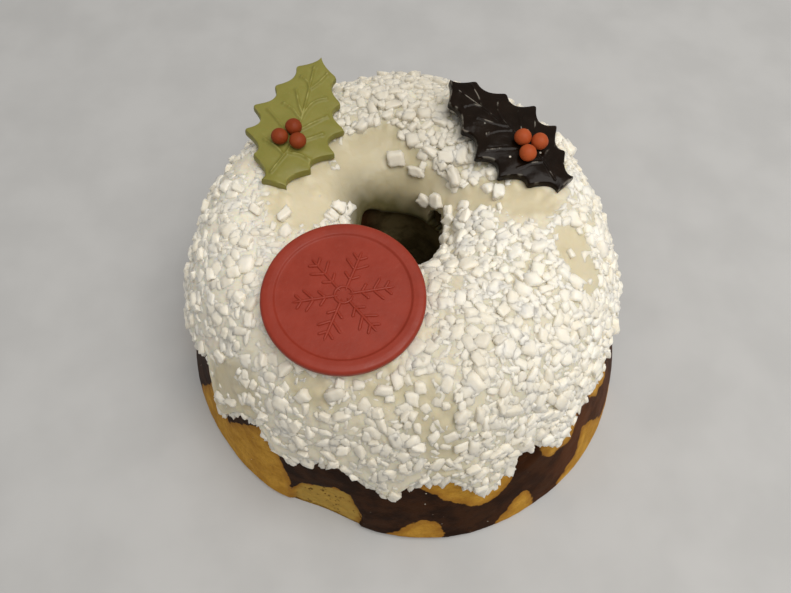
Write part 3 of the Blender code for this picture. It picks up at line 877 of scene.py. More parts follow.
def nib_cover(points, azimuth):
    """How densely the nibs cover each point of the icing, from 0 to 1."""
    away = points - CROWN
    cover = 0.75 + weighted(azimuth, DENSE_NIBS)
    slope = np.hypot(away[:, 0], away[:, 1])
    cover = cover - 0.3 * around(azimuth, 262, 34) * bell(slope / MM - 63, 13)
    cover = cover + 0.5 * around(azimuth, 92, 34) * unit((slope - 46 * MM) / (6 * MM))
    cover = cover - 0.35 * around(azimuth, 50, 28) * (slope < 33 * MM)
    front = unit((-away[:, 1] - 45 * MM) / (8 * MM))
    least = 0.012 + 0.16 * front
    border = bare_depth(away) + 0.22 * roughness(points, 7, 41, 3)
    return unit(cover * unit((border - 0.8) / (0.3 + 0.3 * front)) + least)


def collar_heights(points, seats):
    """How high the nearest nib draws the icing up at each point."""
    tree = KDTree(len(seats))
    for number, seat in enumerate(seats):
        tree.insert(seat, number)
    tree.balance()
    nearest = np.array([tree.find(p)[2] for p in points])
    return COLLAR_RISE * bell(nearest, COLLAR_REACH)


def curtain_gap_depths(points, azimuth, u):
    """How deep the gaps in the curtain inside the hole go at each point."""
    depth = np.zeros(len(points))
    for centre, level, half_turn, half_height in CURTAIN_GAPS:
        fall = (points[:, 2] - level * MM) / (half_height * MM)
        away = np.hypot(turned(azimuth, centre) / half_turn, fall)
        inside = 1.3 - away + 0.3 * roughness(points, 2, 23, 2)
        depth += CURTAIN_GAP_DEPTH * unit(inside / 0.15) * (u > CURTAIN_START)
    return depth


def icing_looks(points, azimuth, u, end, cover):
    """How thin the icing is near its edge inside the hole, partly painted shade, how sugared it is,
    and how much painted shade darkens it, at each point.
    """
    to_edge = np.linalg.norm(section(u) - section(end), axis=0)
    # Partly painted shade: the colour darkens towards the edge inside the hole
    thin = eased(1 - to_edge / (THIN_SHADE_REACH * (0.5 + 0.5 * around(azimuth, 125, 60))))
    thin = np.clip(1.1 * thin * (1 + 0.2 * roughness(points, 6, 25, 2)), 0, 0.97)
    sugared = cover * (0.4 + weighted(azimuth, WHITE_ICING))
    beyond = np.hypot(points[:, 0], points[:, 1]) > CREST_RADIUS
    sugared = unit(sugared + 0.4 * cover * around(azimuth, 92, 45) * beyond)
    return {"thin": thin, "sugared": sugared, "painted_shade": weighted(azimuth, PAINTED_SHADE_ICING)}


def build_icing(paint, seats):
    """The coat of icing over the crown, with a rounded, dripping edge, drawn up round the nibs."""
    azimuths = np.arange(ICING_COLUMNS) * 360 / ICING_COLUMNS
    start, end = icing_span(azimuths)
    end = end + swell(azimuths, CURTAIN_SAG) / THROAT_HEIGHT
    shares = np.linspace(0, 1, ICING_ROWS)
    shares = 0.5 - 0.5 * np.cos(math.pi * shares) * (0.7 + 0.3 * np.cos(math.pi * shares) ** 2)
    rows = []
    for share in shares:
        u = start + (end - start) * share
        here = section(u).T
        inset = np.minimum(
            np.linalg.norm(here - section(start).T, axis=1),
            np.linalg.norm(here - section(end).T, axis=1),
        )
        fade = np.sqrt(1 - (1 - unit(inset / ICING_ROUNDING)) ** 2)
        bead = EDGE_BEAD * bell(inset - EDGE_BEAD_INSET, EDGE_BEAD_WIDTH)
        depth = (ICING_THICKNESS + bead + icing_swell(azimuths, u)) * fade
        rows.append(offset_point(azimuths, u, ICING_GAP * fade + depth - EDGE_DIP * (1 - fade)))
    flat = np.array(rows).reshape(-1, 3)
    lumps = roughness(flat, 6, 21, 3) * ICING_RELIEF + collar_heights(flat, seats)
    u_all = (start + (end - start) * shares[:, None]).ravel()
    azimuth = np.tile(azimuths, ICING_ROWS)
    normal = icing_normal(azimuth, u_all)
    lumps *= unit(np.repeat(np.minimum(shares, 1 - shares) * 30, ICING_COLUMNS))
    lumps -= curtain_gap_depths(flat, azimuth, u_all)
    cover = nib_cover(flat, azimuth)
    flat = flat + normal * lumps[:, None]
    back = np.array([
        offset_point(azimuths, start + (end - start) * share, -ICING_BITE)
        for share in np.linspace(1, 0, ICING_BACK_ROWS)
    ])
    points = np.concatenate((flat, back.reshape(-1, 3)))
    faces = grid_faces(ICING_ROWS + ICING_BACK_ROWS, ICING_COLUMNS, True, True)
    piece = mesh_object("icing_coat", points, faces, paint)
    ends = np.tile(end, ICING_ROWS)
    add_values(piece, **icing_looks(flat, azimuth, u_all, ends, cover))
    return piece


# ---- flat toppings

def crown_place(place):
    """A place measured from the crown's centre, on the floor's level."""
    return Vector(CROWN) + Vector(place)


def plate_matrix(place, heading, rise, roll):
    """World matrix of a leaf: y runs to the tip, z stands on its top face."""
    turn = Matrix.Rotation(math.radians(heading), 4, "Z")
    lift = Matrix.Rotation(math.radians(rise), 4, "X")
    bank = Matrix.Rotation(math.radians(roll), 4, "Y")
    return Matrix.Translation(crown_place(place)) @ turn @ lift @ bank


def medallion_matrix():
    """World matrix of the medallion: z stands on its rim."""
    tilt = Vector((0, 0, 1)).rotation_difference(MEDALLION_NORMAL.normalized())
    return Matrix.Translation(crown_place(MEDALLION_TOP)) @ tilt.to_matrix().to_4x4()


def moved_points(matrix, points):
    """Points carried by a world matrix."""
    m = np.array(matrix)
    return np.asarray(points) @ m[:3, :3].T + m[:3, 3]


def medallion_profile():
    """Radii and heights of the medallion from its back over the rounded rim to the middle."""
    edge = MEDALLION_RADIUS
    step = MEDALLION_RIM * edge
    base = -MEDALLION_THICKNESS
    low, high = 1.2 * MM, 1.25 * MM  # roundings of the back and the rim
    centre = 0.002 * MM
    rim = -1.35 * MM
    brink = 0.14 * MM
    profile = [(centre, base), (edge * 0.5, base), (edge - 1.3 * MM, base)]
    for turn in (math.radians(15 * k) for k in range(1, 7)):
        profile.append((edge - low * (1 - math.sin(turn)), base + low * (1 - math.cos(turn))))
    profile.append((edge, rim))
    for turn in (math.radians(10 * k) for k in range(1, 10)):
        profile.append((edge - high * (1 - math.cos(turn)), rim + high * math.sin(turn)))
    profile += [(edge - 1.9 * MM, 0.0), (edge - 2.6 * MM, -0.03 * MM)]
    profile.append((step + 0.9 * MM, -0.12 * MM))
    for share in (k / 8 for k in range(9)):
        fall = 0.5 - 0.5 * math.cos(math.pi * share)
        profile.append((step + 0.5 * MM - MM * share, -brink - (MEDALLION_RECESS - brink) * fall))
    inwards = (0.92, 0.8, 0.65, 0.5, 0.35, 0.2, 0.08)
    profile += [(step * share, -MEDALLION_RECESS) for share in inwards]
    return profile + [(centre, -MEDALLION_RECESS)]


def build_medallion(paint):
    """The round plate: rounded rim, a step down and a level, slightly wavy middle."""
    profile = medallion_profile()
    turns = np.arange(MEDALLION_SIDES) * 2 * math.pi / MEDALLION_SIDES
    rows = [
        np.stack((r * np.cos(turns), r * np.sin(turns), np.full(MEDALLION_SIDES, z)), -1)
        for r, z in profile
    ]
    points = np.array(rows).reshape(-1, 3)
    warp = roughness(points * (1, 1, 0.3), 9, 31, 3)
    points[:, 2] += MEDALLION_WAVES * warp
    points[:, :2] *= (1 + MEDALLION_UNEVENNESS * roughness(points, 14, 32, 2))[:, None]
    points = moved_points(medallion_matrix(), points)
    faces = grid_faces(len(profile), MEDALLION_SIDES, close_columns=True)
    return mesh_object("medallion_disc", points, faces, paint, 50)


def raised_line(path, width, rise):
    """Points and quads of a half-round ridge along a path, with tapered ends."""
    path = np.asarray(path, float)
    run = directions(np.gradient(path, axis=0))
    side = np.stack((-run[:, 1], run[:, 0]), -1)
    count = len(path)
    ends = np.sqrt(np.clip(1 - np.abs(np.linspace(-1, 1, count)) ** 8, 0.05, 1))
    rows = []
    for turn in np.linspace(0, math.pi, 7):
        xy = path + side * (0.5 * width * math.cos(turn) * ends)[:, None]
        z = rise * math.sin(turn) * ends - 0.05 * MM
        rows.append(np.column_stack((xy, z)))
    return np.array(rows).reshape(-1, 3), grid_faces(len(rows), count)


def snowflake_lines():
    """Paths of a plain six-armed snowflake."""
    lines = []
    for arm in range(6):
        turn = math.radians(60 * arm + FLAKE_TURN)
        out = np.array((math.cos(turn), math.sin(turn)))
        lines.append(np.linspace(*FLAKE_ARM, 24)[:, None] * out)
        for reach, length in FLAKE_BRANCHES:
            for way in (-1, 1):
                lean = turn + way * math.radians(FLAKE_SPREAD)
                branch = np.array((math.cos(lean), math.sin(lean)))
                lines.append(reach * out + np.linspace(0, length, 10)[:, None] * branch)
    ring = np.radians(np.arange(0, 361, 10))
    lines.append(FLAKE_RING * np.stack((np.cos(ring), np.sin(ring)), -1))
    return lines


def build_snowflake(paint):
    """The snowflake in thin raised lines on the medallion's level middle."""
    points = []
    faces = []
    count = 0
    for path in snowflake_lines():
        line_points, quads = raised_line(path, FLAKE_WIDTH, FLAKE_RISE)
        faces.append(quads + count)
        count += len(line_points)
        points.append(line_points)
    points = np.concatenate(points)
    points[:, 2] -= MEDALLION_RECESS
    points = moved_points(medallion_matrix(), points)
    return mesh_object("medallion_snowflake", points, np.concatenate(faces), paint)


def leaf_edge(arc_points, spread=1.0):
    """One half of a leaf's edge, from foot to tip: along and out, with blunt spines."""
    spines = [LEAF_FOOT, *LEAF_SPINES, (1.0, 0.0)]
    points = [LEAF_FOOT]
    for number, ((t0, w0), (t1, w1)) in enumerate(zip(spines, spines[1:])):
        bite = LEAF_BITE if number else LEAF_NECK_BITE
        middle_t = 0.55 * t0 + 0.45 * t1
        middle_w = (1 - bite) * (w0 + w1) / 2
        for k in range(1, arc_points + 2):
            s = k / (arc_points + 1)
            t = (1 - s) ** 2 * t0 + 2 * s * (1 - s) * middle_t + s * s * t1
            w = (1 - s) ** 2 * w0 + 2 * s * (1 - s) * middle_w + s * s * w1
            points.append((t, w))
    return np.array([((t - 0.5) * LEAF_LENGTH, w * LEAF_HALF_WIDTH * spread) for t, w in points])


def blunted(side, rounds):
    """A leaf edge with its spines worn round."""
    for _ in range(rounds):
        side = smoothed(side)
        side[-1] = (0.5 * side[-1][0] + 0.5 * side[-2][0], 0)
    return side


def leaf_veins():
    """Paths of the midrib and the side veins in the leaf's plane: across and along."""
    return [smooth_path(np.array(vein) * MM, 24) for vein in LEAF_VEINS]


def smooth_path(corners, count):
    """A smooth path through a few corners."""
    reach = np.concatenate(([0], np.cumsum(np.linalg.norm(np.diff(corners, axis=0), axis=1))))
    steps = np.linspace(0, reach[-1], count)
    path = np.stack([np.interp(steps, reach, corners[:, axis]) for axis in (0, 1)], -1)
    for _ in range(count // 4):
        path = smoothed(path)
    return path


def path_distance(points, path):
    """Distance of each point to a path, by its segments."""
    best = np.full(len(points), 1.0)
    for a, b in zip(path, path[1:]):
        run = b - a
        share = unit(((points - a) @ run) / (run @ run))
        best = np.minimum(best, np.linalg.norm(points - a - share[:, None] * run, axis=1))
    return best


def vein_relief(xy, rise, width):
    """Height of the moulded veins at points of the leaf's plane, and how near each is to a top."""
    ridges, grooves, tops = np.zeros((3, len(xy)))
    for path in leaf_veins():
        distance = path_distance(xy, path)
        knob = np.linalg.norm(xy - path[-1], axis=1)
        ridges = np.maximum(ridges, rise * bell(distance, width))
        ridges = np.maximum(ridges, 1.1 * rise * bell(knob, 1.7 * width))
        tops = np.maximum(tops, bell(distance, 0.5 * width))
        grooves = np.maximum(grooves, bell(distance - 2.6 * width, 1.2 * width))
    return ridges - 0.12 * rise * grooves * (ridges < 0.4 * rise), tops


def grid_border(rows, columns):
    """Numbers of a grid's outer points, once round."""
    return np.concatenate((
        np.arange(columns),
        (np.arange(1, rows) + 1) * columns - 1,
        (rows - 1) * columns + np.arange(columns - 2, -1, -1),
        np.arange(rows - 2, 0, -1) * columns,
    ))


def build_leaf(name, pose, spread, paint, seed, vein_rise, vein_width):
    """A moulded holly leaf with spined, rounded edge and raised veins."""
    side = blunted(leaf_edge(23, spread), 4)
    columns = len(side)
    across = np.concatenate((np.linspace(0, 0.93, 56), (0.95, 0.965, 0.98, 0.99, 1.0)))
    across = np.concatenate((-across[::-1], across[1:]))
    count = len(across)
    grid = (across[:, None] * side[None, :, 1], np.repeat(side[None, :, 0], count, 0))
    xy = np.stack(grid, -1).reshape(-1, 2)
    share = np.repeat(np.abs(across), columns)
    half = np.tile(side[:, 1], count)
    to_end = np.minimum(side[:, 0] - side[0, 0], side[-1, 0] - side[:, 0])
    inset = (1 - share) * np.maximum(half, 0.4 * MM)
    inset = np.minimum(inset, np.tile(to_end, count) + 0.2 * MM)
    shoulder = 1 - np.sqrt(1 - (1 - unit(inset / LEAF_ROUNDING)) ** 2)
    height = LEAF_CROWN * (1 - share ** 2) - LEAF_ROUNDING * shoulder
    relief, tops = vein_relief(xy, vein_rise, vein_width)
    height += relief * unit(inset / (1.2 * MM))
    top = np.column_stack((xy, height))
    top[:, 2] += 0.10 * MM * roughness(top, 7, seed, 3)
    border = grid_border(count, columns)
    walls = []
    for depth in (0.45, 0.8, 1.0):
        ring = top[border] * (LEAF_FLARE, LEAF_FLARE, 1)
        ring[:, 2] = -LEAF_THICKNESS * depth - LEAF_ROUNDING * (1 - depth) * 0.5
        walls.append(ring)
    points = np.concatenate([top] + walls + [np.array([[0, 0, -LEAF_THICKNESS]])])
    loops = [border] + [len(top) + k * len(border) + np.arange(len(border)) for k in range(3)]
    sides = []
    for upper, lower in zip(loops, loops[1:]):
        sides.append(np.stack((upper, np.roll(upper, -1), np.roll(lower, -1), lower), -1))
    last = loops[-1]
    back = np.stack((last, np.roll(last, -1), np.full(len(last), len(points) - 1)), -1)
    quads = grid_faces(count, columns)[:, (0, 3, 2, 1)]
    world = moved_points(plate_matrix(*pose), points)
    piece = mesh_object(name, world, [np.concatenate([quads] + sides), back], paint, 60)
    # Where painted glints go: vein tops and a thin line along the rim
    rim = 0.7 * bell(inset - 0.25 * MM, 0.22 * MM)
    add_values(piece, ridge=np.maximum(tops, rim))
    fix_normals(piece)
    return piece


def fix_normals(piece):
    """Turn a closed piece's faces outwards."""
    bm = bmesh.new()
    bm.from_mesh(piece.data)
    bmesh.ops.recalc_face_normals(bm, faces=bm.faces)
    bm.to_mesh(piece.data)
    bm.free()


def build_berries(kind, pose, paint):
    """Three slightly uneven berries on a leaf."""
    made = []
    for number, (along, across) in enumerate(BERRY_PLACES, 1):
        bm = bmesh.new()
        bmesh.ops.create_icosphere(bm, subdivisions=4, radius=BERRY_RADIUS)
        points = np.array([v.co for v in bm.verts])
        faces = np.array([[v.index for v in f.verts] for f in bm.faces])
        bm.free()
        seed = number + (kind == "dark") * 5
        points *= (1 + BERRY_UNEVENNESS * roughness(points, 3, seed, 2))[:, None]
        points = points * (1, 1, BERRY_SQUASH) + (across, along, BERRY_HEIGHT + BERRY_LIFT)
        points = moved_points(plate_matrix(*pose), points)
        made.append(mesh_object(f"holly_berry_{kind}_{number}", points, faces, paint))
    return made


# ---- sugar nibs

def plates():
    """The flat toppings: matrix, half length, half width, underside and whether it is round."""
    leaf = (LEAF_LENGTH / 2, LEAF_HALF_WIDTH, -LEAF_THICKNESS, False)
    disc = (MEDALLION_RADIUS, MEDALLION_RADIUS, -MEDALLION_THICKNESS, True)
    return (
        (plate_matrix(*GREEN_LEAF), *leaf),
        (plate_matrix(*DARK_LEAF), *leaf),
        (medallion_matrix(), *disc),
    )


def tuck_under(points, reach):
    """Lower points that stand under or beside a flat topping to clear its underside."""
    for matrix, half_length, half_width, underside, _ in plates():
        local = moved_points(matrix.inverted(), points)
        near = np.abs(local[..., 0]) < half_width + reach
        near &= np.abs(local[..., 1]) < half_length + reach
        limit = underside - PLATE_CLEARANCE
        local[..., 2] = np.where(near, np.minimum(local[..., 2], limit), local[..., 2])
        points = moved_points(matrix, local)
    return points


def leaf_reach(local):
    """Whether local points lie in the leaf's outline."""
    side = leaf_edge(3)
    half = np.interp(local[..., 1], side[:, 0], side[:, 1], left=0, right=0)
    return np.abs(local[..., 0]) < half


def under_plate(points):
    """Whether points lie well under a flat topping."""
    hidden = np.zeros(points.shape[:-1], bool)
    for matrix, _, half_width, _, is_round in plates():
        local = moved_points(matrix.inverted(), points)
        if is_round:
            inside = np.hypot(local[..., 0], local[..., 1]) < half_width - PLATE_MARGIN
        else:
            inside = leaf_reach(local * (1 + 2 * PLATE_MARGIN / half_width))
        hidden |= inside & (local[..., 2] < 0)
    return hidden


def large_seats():
    """Places and directions of the largest nibs, by the CAD's own rule."""
    draw = random.Random(NIB_SEED)
    draws = [(draw.uniform(0, 360), draw.random(), draw.random()) for _ in range(NIB_TRIES)]
    azimuth, place, chance = np.array(draws).T
    start, end = icing_span(azimuth)
    low = start + NIB_START_GAP
    high = np.minimum(end - NIB_END_GAP, NIB_LAST)
    u = low + (high - low) * place
    kept = chance <= section(u)[0] / BASE_RADIUS
    points = icing_surface(azimuth, u)
    normals = icing_normal(azimuth, u)
    chosen = []
    for k in np.flatnonzero(kept & (bare_depth(points - CROWN) >= 1)):
        if len(chosen) == NIB_COUNT:
            break
        if not chosen or np.linalg.norm(points[chosen] - points[k], axis=1).min() >= NIB_SPACING:
            chosen.append(k)
    return points[chosen], normals[chosen], azimuth[chosen], u[chosen]


def corner_signs():
    """On which side of a nib's middle each corner lies."""
    return [[1 if k >> axis & 1 else -1 for axis in range(3)] for k in range(NIB_CORNERS)]


def large_corners():
    """Corners and lengths of the largest nibs, by the CAD's own draws."""
    draw = random.Random(NIB_SEED + 1)
    nibs = []
    lengths = []
    for _ in range(NIB_COUNT):
        length = draw.uniform(*NIB_LENGTH)
        width = length * draw.uniform(0.6, 0.85)
        depth = length * draw.uniform(0.55, 0.75)
        spin = Matrix.Rotation(draw.uniform(0, 2 * math.pi), 3, "Z")
        turn = spin @ Matrix.Rotation(draw.uniform(-0.5, 0.5), 3, "X")
        corners = []
        for signs in corner_signs():
            jitter = Vector([draw.uniform(*NIB_JITTER) for _ in range(3)])
            sizes = (length, width, depth)
            corners.append(Vector([a * b * c for a, b, c in zip(signs, jitter, sizes)]) / 2)
        nibs.append([turn @ corner for corner in corners])
        lengths.append(length)
    return np.array(nibs), np.array(lengths)


def rotated(a, b, angle):
    """Coordinates turned in their plane by an angle."""
    c, s = np.cos(angle)[:, None], np.sin(angle)[:, None]
    return a * c - b * s, a * s + b * c


def drawn_corners(draw, lengths, spin, lean, slim=1.0):
    """Corners of uneven nibs round the origin, turned up to an angle and leaned by about one."""
    count = len(lengths)
    width = slim * draw.uniform(0.5, 0.95, count)
    depth = slim * draw.uniform(0.45, 0.8, count)
    sizes = np.stack((np.ones(count), width, depth), -1) * lengths[:, None] / 2
    jitter = draw.uniform(0.42, 1.02, (count, NIB_CORNERS, 3))
    x, y, z = np.moveaxis(np.array(corner_signs())[None] * jitter * sizes[:, None], -1, 0)
    spin = draw.uniform(-spin, spin, count)
    y, z = rotated(y, z, draw.normal(0, lean, count))
    x, y = rotated(x, y, spin)
    return np.stack((x, y, z), -1)


def stand_on(corners, seats, normals, along=None):
    """Turn each nib's up axis to its normal, its length to a direction, and move it to its seat."""
    if along is None:
        along = np.where(np.abs(normals[:, 2:]) > 0.9, (1.0, 0, 0), (0, 0, 1.0))
    first = directions(along - normals * (along * normals).sum(1, keepdims=True))
    second = np.cross(normals, first)
    axes = (first, second, normals)
    x, y, z = (corners[..., k:k + 1] * axis[:, None] for k, axis in enumerate(axes))
    return x + y + z + seats[:, None]


def track_stand(corners, seats, normals):
    """The same, with the turn about the normal that the CAD's nibs have."""
    stands = np.array([np.array(Vector(n).to_track_quat("Z", "Y").to_matrix()) for n in normals])
    return np.einsum("nij,nkj->nki", stands, corners) + seats[:, None]


def rounded_block(divisions, rounding):
    """A unit block with rounded edges: points in -1..1 and quads."""
    steps = np.linspace(-1, 1, divisions + 1)
    index = {}
    faces = []
    cells_of_side = tuple(itertools.product(range(divisions), repeat=2))
    for axis, way, (i, j) in itertools.product(range(3), (-1, 1), cells_of_side):
        quad = []
        for a, b in ((i, j), (i + 1, j), (i + 1, j + 1), (i, j + 1)):
            point = np.roll((way, steps[a], steps[b]), axis)
            quad.append(index.setdefault(tuple(point), len(index)))
        faces.append(quad if way > 0 else quad[::-1])
    points = np.array(list(index))
    core = np.clip(points, -(1 - rounding), 1 - rounding)
    out = points - core
    out /= np.maximum(np.linalg.norm(out, axis=1, keepdims=True), 1e-9)
    return core + out * rounding, np.array(faces)


def nib_meshes(name, corners, divisions, rounding, paint, draw):
    """One piece of many rounded nibs, each a block bent to its own corners."""
    block, faces = rounded_block(divisions, rounding)
    weights = (0.5 * (1 + np.array(corner_signs()) * block[:, None])).prod(-1)
    points = np.einsum("vk,nkc->nvc", weights, corners)
    centre = points.mean(1, keepdims=True)
    dent = 1 + NIB_DENT * draw.normal(0, 1, points.shape[:2])[..., None]
    points = centre + (points - centre) * dent
    low, high = np.array(CAD_BOX)
    over = np.maximum(points.max(1) - high, 0) - np.maximum(low - points.min(1), 0)
    points -= over[:, None]
    firsts = np.arange(len(corners)) * len(block)
    faces = (faces[None] + firsts[:, None, None]).reshape(-1, 4)
    piece = mesh_object(name, points.reshape(-1, 3), faces, paint)
    middle = points.mean(1)
    azimuth = np.degrees(np.arctan2(middle[:, 1], middle[:, 0]))
    # Wet with icing, partly painted shade at the back, front and left
    wet = 0.03 + weighted(azimuth, WET_AND_SHADED_NIBS) + draw.normal(0, 0.12, len(middle))
    add_values(piece, wet=np.repeat(unit(wet), len(block)))
    return piece


def nib_rim(azimuth):
    """The u inside the hole where the nibs stop in each direction."""
    return NIB_RIM - weighted(azimuth, NIB_RIM_RETREATS)


def crowded(grid, point, size):
    """Whether a nib of a size would stand too close to one in the grid."""
    home = (point // GRID_CELL).astype(int)
    for step in itertools.product((-1, 0, 1), repeat=3):
        for other, other_size in grid.get(tuple(home + step), ()):
            gap = FINER_SPACING * 0.5 * (size + other_size)
            if ((other - point) ** 2).sum() < gap * gap:
                return True
    return False


def add_to(grid, point, size):
    """Note a nib in its cell of the grid."""
    grid.setdefault(tuple((point // GRID_CELL).astype(int)), []).append((point, size))


def scattered_seats(draw, lengths, taken, lift):
    """Places for nibs of given lengths, denser where the icing is well covered."""
    azimuth = draw.uniform(0, 360, FINER_TRIES)
    start, end = icing_span(azimuth)
    low = start - 0.01
    high = np.minimum(end - 0.1, 3.0)
    u = low + (high - low) * draw.uniform(0, 1, FINER_TRIES)
    points = icing_surface(azimuth, u)
    normals = icing_normal(azimuth, u)
    area = unit(section(u)[0] / BASE_RADIUS)
    cover = nib_cover(points, azimuth) * unit((nib_rim(azimuth) - u) / 0.08)
    kept = draw.uniform(0, 1, FINER_TRIES) < area
    kept &= draw.uniform(0, 1, FINER_TRIES) < cover
    kept &= ~under_plate(points)
    grid = {}
    for point, size in taken:
        add_to(grid, point, size)
    chosen = []
    for k in np.flatnonzero(kept):
        if len(chosen) == len(lengths):
            break
        size = lengths[len(chosen)]
        if not crowded(grid, points[k], size):
            chosen.append(k)
            add_to(grid, points[k], size)
    lengths = lengths[:len(chosen)]
    rise = draw.uniform(*lift, len(chosen)) + weighted(azimuth[chosen], PROUD_NIBS)
    rise *= lengths
    taken += list(zip(points[chosen], lengths))
    return points[chosen] + normals[chosen] * rise[:, None], normals[chosen], lengths


def lone_seats():
    """Seats, normals and lengths of the few nibs that lie apart on the bare icing."""
    azimuth, u, lengths = np.array(LONE_NIBS, float).T
    seats = icing_surface(azimuth, u, LONE_LIFT * lengths * MM)
    return seats, icing_normal(azimuth, u), lengths * MM


def hanging(azimuth, u, sink, drop):
    """Seats, normals and downward directions of nibs near the outer edge."""
    down = icing_surface(azimuth, drop) - icing_surface(azimuth, u)
    return icing_surface(azimuth, u, -sink), icing_normal(azimuth, u), down


def edge_nibs(draw):
    """Seats, lengths and corners of the nibs that hang off the outer edge."""
    azimuth = (np.arange(EDGE_NIBS) + draw.uniform(-0.45, 0.45, EDGE_NIBS)) * 360 / EDGE_NIBS
    start, _ = icing_span(azimuth)
    u = start + draw.uniform(-0.012, 0.045, EDGE_NIBS)
    seats, normals, down = hanging(azimuth, u, EDGE_SINK, u - 0.02)
    lengths = draw.uniform(*EDGE_LENGTH, EDGE_NIBS)
    corners = stand_on(drawn_corners(draw, lengths, 0.6, 0.5, 0.75), seats, normals, down)
    azimuth, longest = np.array(FINGER_NIBS, float).T
    start, _ = icing_span(azimuth)
    ends = icing_surface(azimuth, start - 0.015, -FINGER_SINK)
    _, facing, down = hanging(azimuth, start, FINGER_SINK, start - 0.04)
    fingers = drawn_corners(draw, longest * MM, 0.2, 0.3, 0.72)
    return seats, lengths, np.concatenate((corners, stand_on(fingers, ends, facing, down)))


def build_nibs(paint):
    """All sugar nibs: large ones as in the CAD, loose and hanging ones, then finer ones between."""
    draw = np.random.RandomState(FINER_SEED)
    seats, normals, azimuth, u = large_seats()
    corners, lengths = large_corners()
    seen = u < nib_rim(azimuth) + 0.03
    corners, lengths = corners[:len(seats)][seen], lengths[:len(seats)][seen]
    seats, normals = seats[seen], normals[seen]
    placed = track_stand(corners, seats + normals * (lengths * NIB_SINK)[:, None], normals)
    placed = tuck_under(placed, NIB_LENGTH[1])
    taken = list(zip(seats, lengths))
    seats, normals, lengths = lone_seats()
    apart = stand_on(drawn_corners(draw, lengths, math.pi, 0.3), seats, normals)
    placed = np.concatenate((placed, tuck_under(apart, FINER_REACH)))
    made = [nib_meshes("nibs_large", placed, 5, 0.4, paint, draw)]
    taken += list(zip(seats, lengths))
    seats, lengths, corners = edge_nibs(draw)
    made.append(nib_meshes("nibs_edge", corners, 4, 0.36, paint, draw))
    taken += list(zip(seats, lengths))
    for name, count, sizes, lift, rounding in FINER_NIBS:
        lengths = draw.uniform(*sizes, count)
        seats, normals, lengths = scattered_seats(draw, lengths, taken, lift)
        corners = stand_on(drawn_corners(draw, lengths, math.pi, 0.32), seats, normals)
        corners = tuck_under(corners, FINER_REACH)
        made.append(nib_meshes(name, corners, 3, rounding, paint, draw))
    return made, [seat for seat, _ in taken]


# ---- stage

FLOOR_HALF = 1.5
ROOM_COLOUR = (1.0, 0.98, 0.95)
ROOM_LIGHT = {"To Min": 0.27, "To Max": 0.55}
LAMP_PLACE = (0.36, -0.15, 1.05)
LAMP_SIZE = 0.75
LAMP_POWER = 8.6
LAMP_COLOUR = (1.0, 0.97, 0.93)
LAMP_AIM = (0, 0, 0.04)
CAMERA_PLACE = (0, -110.2 * MM, 237.9 * MM)
CAMERA_TILT = math.radians(90 - 63.31)
CAMERA_TURN = math.radians(1.30)
CAMERA_LENS = 27.3
CAMERA_SENSOR = 36


def floor_paint():
    """Pale stone with faint clouds."""
    s = Shader("pale floor")
    return s.finish(s.mottle(s.noise(30, 3), FLOOR, 0.3, 0.7), 0.7)


def build_floor():
    """A wide pale floor, which is not part of the object."""
    corners = np.array(((-1, -1, 0), (1, -1, 0), (1, 1, 0), (-1, 1, 0))) * FLOOR_HALF
    mesh_object("floor", corners, np.array(((0, 1, 2, 3),)), floor_paint())


def build_room():
    """Soft light all round, stronger from above."""
    world = bpy.data.worlds.new("soft room")
    room = Wiring(world)
    height = room.node("SeparateXYZ", "Z", {"Vector": room.node("TexCoord", "Generated")})
    light = room.node("MapRange", "Result", {"Value": height, **ROOM_LIGHT})
    room.feed(room.tree.nodes["Background"], {"Color": (*ROOM_COLOUR, 1), "Strength": light})
    bpy.context.scene.world = world


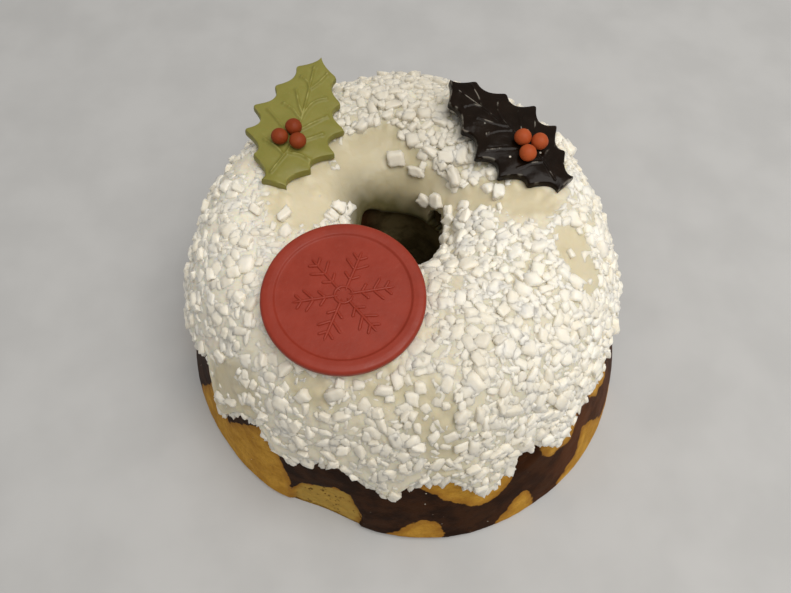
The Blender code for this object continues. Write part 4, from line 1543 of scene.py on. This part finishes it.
def add_light():
    """A square soft light that looks at the cake."""
    lamp = linked("overhead softbox", bpy.data.lights.new("overhead softbox", "AREA"))
    lamp.data.size = LAMP_SIZE
    lamp.data.energy = LAMP_POWER
    lamp.data.color = LAMP_COLOUR
    lamp.location = LAMP_PLACE
    aim = Vector(LAMP_PLACE) - Vector(LAMP_AIM)
    lamp.rotation_euler = aim.to_track_quat("Z", "Y").to_euler()


def add_camera():
    """The camera in front of the cake, looking steeply down."""
    camera = linked("camera", bpy.data.cameras.new("camera"))
    camera.data.sensor_width = CAMERA_SENSOR
    camera.data.lens = CAMERA_LENS
    camera.data.clip_start = 0.01
    camera.location = CROWN + np.array(CAMERA_PLACE)
    camera.rotation_euler = (CAMERA_TILT, 0, CAMERA_TURN)
    bpy.context.scene.camera = camera
    bpy.context.scene.view_settings.view_transform = "Standard"


# ---- assembly

def dress(piece, slot, *nodes):
    """A piece rides with the cake and may stand for CAD nodes, which it hides; its slot is not
    used.
    """
    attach(piece, "root")
    if nodes:
        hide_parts(*nodes)


dress(build_sponge(sponge_paint()), "sponge", "cake")
all_nibs, nib_seats = build_nibs(sugar_paint())
dress(build_icing(icing_paint(), nib_seats), "icing", "icing")
for nibs in all_nibs:
    dress(nibs, "icing", "icing")
red = chocolate_paint("red chocolate", RED, 0.45, 0.3)
dress(build_medallion(red), "medallion_red", "medallion")
dress(build_snowflake(red), "medallion_red", "medallion")
for kind, pose, spread, finish, relief in (
    ("green", GREEN_LEAF, GREEN_SPREAD, (GREEN, 0.42, 0.3), (51, 0.62 * MM, 0.42 * MM)),
    ("dark", DARK_LEAF, 1.0, (DARK, 0.2, 0.1, 0.8), (52, 0.24 * MM, 0.26 * MM)),
):
    chocolate = chocolate_paint(f"{kind} chocolate", *finish)
    leaf = build_leaf(f"holly_{kind}", pose, spread, chocolate, *relief)
    dress(leaf, f"leaf_{kind}", f"leaf_{kind}")
for kind, pose, tones in (("green", GREEN_LEAF, DEEP_BERRY), ("dark", DARK_LEAF, BRIGHT_BERRY)):
    berry = chocolate_paint(f"{kind} leaf berry", tones, 0.5, 0.18)
    for number, piece in enumerate(build_berries(kind, pose, berry), 1):
        dress(piece, "berry_red", f"berry_{kind}_{number}")
build_floor()
build_room()
add_light()
add_camera()
